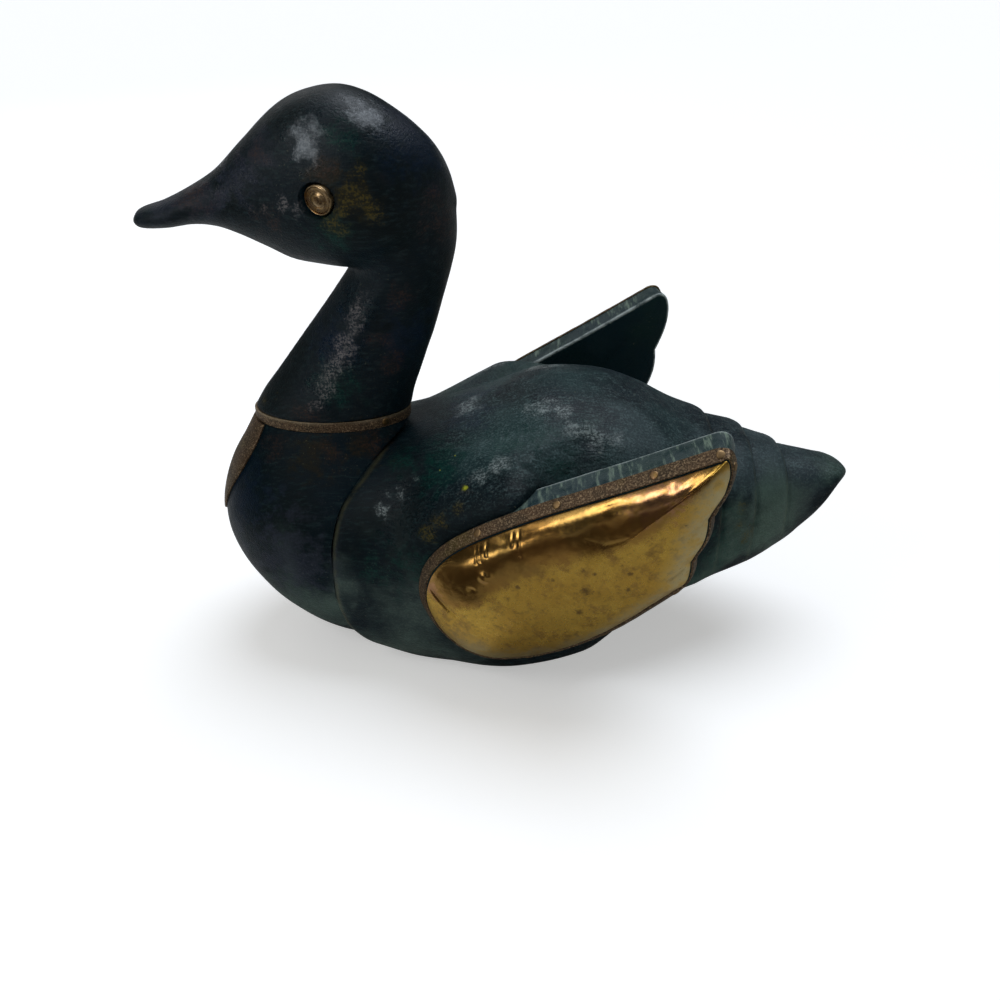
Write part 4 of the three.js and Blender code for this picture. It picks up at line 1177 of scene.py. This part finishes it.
def brass_material(name, bright, dull, gloss):
    """Tarnished brass, darker above with painted dark reflection: its two tones and the range of its
    roughness.
    """
    nodes = Nodes(name)
    folded = nodes.folded_place()
    cloud = nodes.noise(22, 5, 0.6)
    stain = nodes.noise(7, 6, 0.7, seed=0.3)
    fine = nodes.noise(2.4, 6, 0.7)
    speck = nodes.noise(0.8, 3, 0.6)
    border = nodes.ramp(fine, 0.3, 0.7)
    # Darker upper part: tarnish, and painted dark reflection
    tarnish_and_dark_reflection = nodes.math("ADD", nodes.attribute("tarnish_and_dark_reflection"), nodes.ramp(stain, 0.3, 0.7, -0.11, 0.11))
    tarnish_and_dark_reflection = nodes.ramp(tarnish_and_dark_reflection, 0.28, 0.72, 0.0, 0.9)
    haze = nodes.product(nodes.attribute("wear"), nodes.ramp(stain, 0.36, 0.6, 0.3, 0.95))
    tone = nodes.mix(nodes.ramp(cloud, 0.35, 0.68), bright, dull)
    tone = nodes.mix(nodes.ramp(stain, 0.48, 0.66, 0, 0.75), tone, STAIN_BROWN)
    tone = nodes.mix(nodes.ramp(fine, 0.52, 0.7, 0, 0.55), tone, FLECK_BROWN)
    tone = nodes.mix(tarnish_and_dark_reflection, tone, nodes.mix(nodes.ramp(cloud, 0.4, 0.62), *TARNISH_AND_DARK_REFLECTION_TONES))
    tone = nodes.blend_spots(tone, ROSY_ZONES, folded, border, 0.7, ROSY)
    tone = nodes.mix(haze, tone, PALE_HAZE)
    tone = nodes.blend_spots(tone, BRASS_SPOTS, folded, border, 0.75, SPOT_BROWN)
    tone = nodes.mix(nodes.ramp(speck, 0.65, 0.73, 0.0, 0.6), tone, SPECK_BROWN)
    rough = nodes.math("MULTIPLY_ADD", haze, 0.18, nodes.ramp(fine, 0.25, 0.75, *gloss))
    rough = nodes.math("MULTIPLY_ADD", tarnish_and_dark_reflection, -0.1, rough)
    relief = nodes.bump(fine, 0.07, 0.5, nodes.bump(nodes.noise(9, 3), 0.35, 0.4))
    return nodes.dress(Metallic=1.0, Base_Color=tone, Roughness=rough, Normal=relief)


def copper_material():
    """Brown copper strip, stippled, with an olive bloom in places and a paler worn edge."""
    nodes = Nodes("copper")
    stipple = nodes.noise(0.65, 3, 0.6)
    cloud = nodes.noise(12, 5, 0.65)
    bloom = nodes.ramp(nodes.noise(20, 4, 0.6, seed=0.4), 0.54, 0.68, 0, 0.4)
    worn = nodes.product(nodes.attribute("wear"), nodes.ramp(cloud, 0.35, 0.6, 0.3, 1.0))
    tone = nodes.mix(nodes.ramp(cloud, 0.35, 0.65), colour(0.105, 0.062, 0.032), colour(0.075, 0.052, 0.029))
    tone = nodes.mix(bloom, tone, colour(0.12, 0.095, 0.014))
    tone = nodes.mix(nodes.ramp(stipple, 0.5, 0.66, 0.0, 0.75), tone, colour(0.36, 0.25, 0.14))
    tone = nodes.mix(nodes.ramp(stipple, 0.36, 0.46, 0.65, 0.0), tone, colour(0.02, 0.012, 0.008))
    tone = nodes.mix(worn, tone, colour(0.4, 0.32, 0.2))
    rough = nodes.ramp(cloud, 0.3, 0.7, 0.42, 0.58)
    return nodes.dress(Metallic=0.6, Base_Color=tone, Roughness=rough, Normal=nodes.bump(stipple, 0.18, 0.9))


def wood_material():
    nodes = Nodes("bare_wood")
    fibre = nodes.noise(1.4, 5, 0.6, nodes.stretched((0.08, 1, 1)))
    tone = nodes.mix(nodes.ramp(fibre, 0.35, 0.65), colour(0.42, 0.27, 0.13), colour(0.28, 0.16, 0.07))
    return nodes.dress(Base_Color=tone, Roughness=0.7, Normal=nodes.bump(fibre, 0.1, 0.6))


def steel_material():
    nodes = Nodes("steel")
    scratch = nodes.noise(1.5, 4)
    tone = nodes.mix(scratch, colour(0.42, 0.43, 0.45), colour(0.3, 0.3, 0.31))
    return nodes.dress(Metallic=1.0, Base_Color=tone, Roughness=nodes.ramp(scratch, 0.3, 0.7, 0.3, 0.5))


head_paint = paint_material("head_paint", CARVED_PAINT, 0.25, 0.4)
breast_paint = paint_material("breast_paint", CARVED_PAINT, 0.1, 0.4)
body_paint = paint_material("body_paint", CARVED_PAINT, 0.16, 0.6)
wing_paint = paint_material("wing_paint", BOARD_PAINT, 0.18, 0.1, edges_only=True)
brass = brass_material("brass", colour(0.97, 0.62, 0.125), colour(0.85, 0.51, 0.1), (0.24, 0.36))
eye_brass = brass_material("eye_brass", colour(0.44, 0.31, 0.17), colour(0.36, 0.24, 0.12), (0.22, 0.34))
tack_brass = brass_material("tack_brass", colour(0.3, 0.2, 0.1), colour(0.24, 0.15, 0.07), (0.36, 0.5))
copper = copper_material()
bare_wood = wood_material()
steel = steel_material()

# Carved blocks
body = body_object()
cut_away(body, [seat_object(name) for name in SIDES])
body_wear(body)
finish_piece(body, body_paint, ["body_block"])
finish_piece(breast_object(), breast_paint, ["breast_block"])
head = head_object()
pocket = lathe(EYE_POCKET, EYE_POINTS)
cut_away(head, [new_object("pocket", *pocket, eye_matrix(side)) for side in SIDES.values()])
finish_piece(head, head_paint, ["head_and_neck"])

# Eyes
for name, side in SIDES.items():
    ring = new_object(f"{name}_ring", *lathe_ring(EYE_RING, EYE_POINTS), eye_matrix(side))
    finish_piece(ring, eye_brass, [f"{name}_eye_ring"])
    stud = new_object(f"{name}_stud", *lathe(EYE_STUD, EYE_POINTS), eye_matrix(side))
    finish_piece(stud, eye_brass, [f"{name}_eye_stud"])

# Copper collar, breast strip and their pins
finish_piece(collar_object(), copper, ["collar_band"])
finish_piece(strip_object(), copper, ["breast_strip"])
for name, side in SIDES.items():
    turn = np.array([COLLAR_PIN_TURN, COLLAR_PIN_TURN + SMALL_TURN]) * side
    at, after = stub_ring((BREAST_TOP_Z + NECK_FOOT_Z) / 2, turn, COLLAR_OUT)
    direction = Vector((after[1] - at[1], at[0] - after[0], 0)).normalized() * side
    pin = pin_object(f"{name}_collar_tack", standing(Vector(at), direction))
    finish_piece(pin, tack_brass, [f"{name}_collar_pin"])
foot, outward = breast_point(STRIP_PIN_Z, 0, STRIP_OUT)
strip_pin = pin_object("strip_tack", standing(Vector(foot), Vector(outward)))
finish_piece(strip_pin, tack_brass, ["breast_strip_pin"])

# Wings
for name in SIDES:
    finish_piece(board_object(name), wing_paint, [f"{name}_wing_board"])
    finish_piece(brass_object(name), brass, [f"{name}_wing_brass"])
    finish_piece(edging_object(name), copper, [f"{name}_wing_edging"], EDGING_CREASE)
    for i, target in enumerate(WING_PINS, 1):
        pin = pin_object(f"{name}_tack_{i}", wing_matrix(name) @ wing_pin_matrix(target))
        finish_piece(pin, tack_brass, [f"{name}_wing_pin_{i}"])

# Pieces that stay as the frame has them
kept_finishes = {"dowel": bare_wood, "screw": steel}
for node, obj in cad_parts.items():
    material = kept_finishes.get(node.split("_")[-1])
    if material:
        obj.data.materials.clear()
        obj.data.materials.append(material)


# Floor, light and camera: sizes in metres, angles in degrees

LIGHT_TARGET = Vector((-0.02, -0.03, 0.12))
FLOOR = [(-9, -9), (9, -9), (9, 9), (-9, 9)]
FLOOR_TONE = colour(0.84, 0.84, 0.83)
FLOOR_GLOW = 0.52
# Cards that only show in reflections, as cloths do beside a shining object: corners, height and tone
CARDS = {
    "grey_card": ([(-3, -3), (3, -3), (3, 3), (-3, 3)], 0.001, colour(0.3, 0.295, 0.27)),
    "dark_card": (
        [(-3, -0.115), (-0.055, -0.115), (-0.13, -0.3), (3, -0.4), (3, -3), (-3, -3)], 0.002,
        colour(0.035, 0.022, 0.015),
    ),
    "pale_card": ([(-0.4, -0.11), (-0.02, -0.11), (-0.02, 0.2), (-0.4, 0.2)], 0.003, colour(0.6, 0.6, 0.58)),
}
# Ceiling light at the horizon and overhead, and the sines of the heights between which it changes
DOME = (0.03, 0.3, 0.4, 0.95)
# Turn from -Y towards +X, rise and spread of the sky's light, its strength and its tone
SKY = (145, 68, 48, 1.7, (0.92, 0.98, 1.08))
# Turn, rise, distance, size and radiance of the soft boxes
SOFT_BOXES = {
    "lamp": (-45, 37, 0.54, (0.19, 0.19), 3.8),
    "left_window": (-75, 39, 1.3, (0.36, 0.24), 0.95),
    "left_low": (-50, 2, 1.3, (0.36, 0.14), 4.0),
    "rear_window": (-150, 28, 1.3, (1.0, 0.7), 0.5),
}


def plane(name, corners, z, tone, glow=0.0):
    points = [(x, y, z) for x, y in corners]
    mesh = bpy.data.meshes.new(name)
    mesh.from_pydata(points, [], [range(len(points))])
    obj = bpy.data.objects.new(name, mesh)
    bpy.context.scene.collection.objects.link(obj)
    material = bpy.data.materials.new(name)
    material.use_nodes = True
    inputs = material.node_tree.nodes["Principled BSDF"].inputs
    looks = {"Base Color": tone, "Roughness": 1.0, "Emission Color": tone, "Emission Strength": glow}
    for key, value in looks.items():
        inputs[key].default_value = value
    mesh.materials.append(material)
    return obj


def reflected_card(name, corners, z, tone):
    card = plane(name, corners, z, tone)
    for ray in ("camera", "diffuse", "shadow", "transmission"):
        setattr(card, f"visible_{ray}", False)


def dome_light(horizon, zenith, low, high):
    """An even studio ceiling, dim at the horizon and bright overhead."""
    world = bpy.data.worlds.new("studio")
    world.use_nodes = True
    nodes = world.node_tree.nodes
    links = world.node_tree.links
    split = nodes.new("ShaderNodeSeparateXYZ")
    links.new(nodes.new("ShaderNodeTexCoord").outputs["Generated"], split.inputs[0])
    rise = nodes.new("ShaderNodeMapRange")
    rise.interpolation_type = "SMOOTHSTEP"
    for key, value in (("From Min", low), ("From Max", high), ("To Min", horizon), ("To Max", zenith)):
        rise.inputs[key].default_value = value
    links.new(split.outputs["Z"], rise.inputs["Value"])
    background = nodes["Background"]
    background.inputs["Color"].default_value = (1, 1, 1, 1)
    links.new(rise.outputs["Result"], background.inputs["Strength"])
    bpy.context.scene.world = world


def add_light(name, data, turn, rise, distance=0):
    """Aims a light at the duck from a turn, a rise and a distance."""
    turn, rise = math.radians(turn), math.radians(rise)
    toward = Vector((math.sin(turn) * math.cos(rise), -math.cos(turn) * math.cos(rise), math.sin(rise)))
    obj = bpy.data.objects.new(name, data)
    obj.location = LIGHT_TARGET + toward * distance
    obj.rotation_euler = (-toward).to_track_quat("-Z", "Y").to_euler()
    bpy.context.scene.collection.objects.link(obj)


def sky_light(turn, rise, spread, strength, tone):
    """Broad even light from one side of the sky, which lights the whole floor alike."""
    data = bpy.data.lights.new("sky", "SUN")
    data.angle = math.radians(spread)
    data.energy = strength
    data.color = tone
    add_light("sky", data, turn, rise)


def soft_box(name, turn, rise, distance, size, radiance):
    data = bpy.data.lights.new(name, "AREA")
    data.shape = "RECTANGLE"
    data.size, data.size_y = size
    data.energy = radiance * math.pi * size[0] * size[1]
    add_light(name, data, turn, rise, distance)


plane("floor", FLOOR, 0, FLOOR_TONE, FLOOR_GLOW)
for name, card in CARDS.items():
    reflected_card(name, *card)
dome_light(*DOME)
sky_light(*SKY)
for name, box in SOFT_BOXES.items():
    soft_box(name, *box)
bpy.context.scene.view_settings.view_transform = "Standard"

camera_data = bpy.data.cameras.new("camera")
camera_data.lens = CAMERA_LENS
camera_data.sensor_width = CAMERA_SENSOR
camera = bpy.data.objects.new("camera", camera_data)
camera.location = Vector(CAMERA_PLACE) * MM
camera.rotation_euler = (math.pi / 2 - CAMERA_PITCH, 0, -CAMERA_TURN)
bpy.context.scene.collection.objects.link(camera)
bpy.context.scene.camera = camera
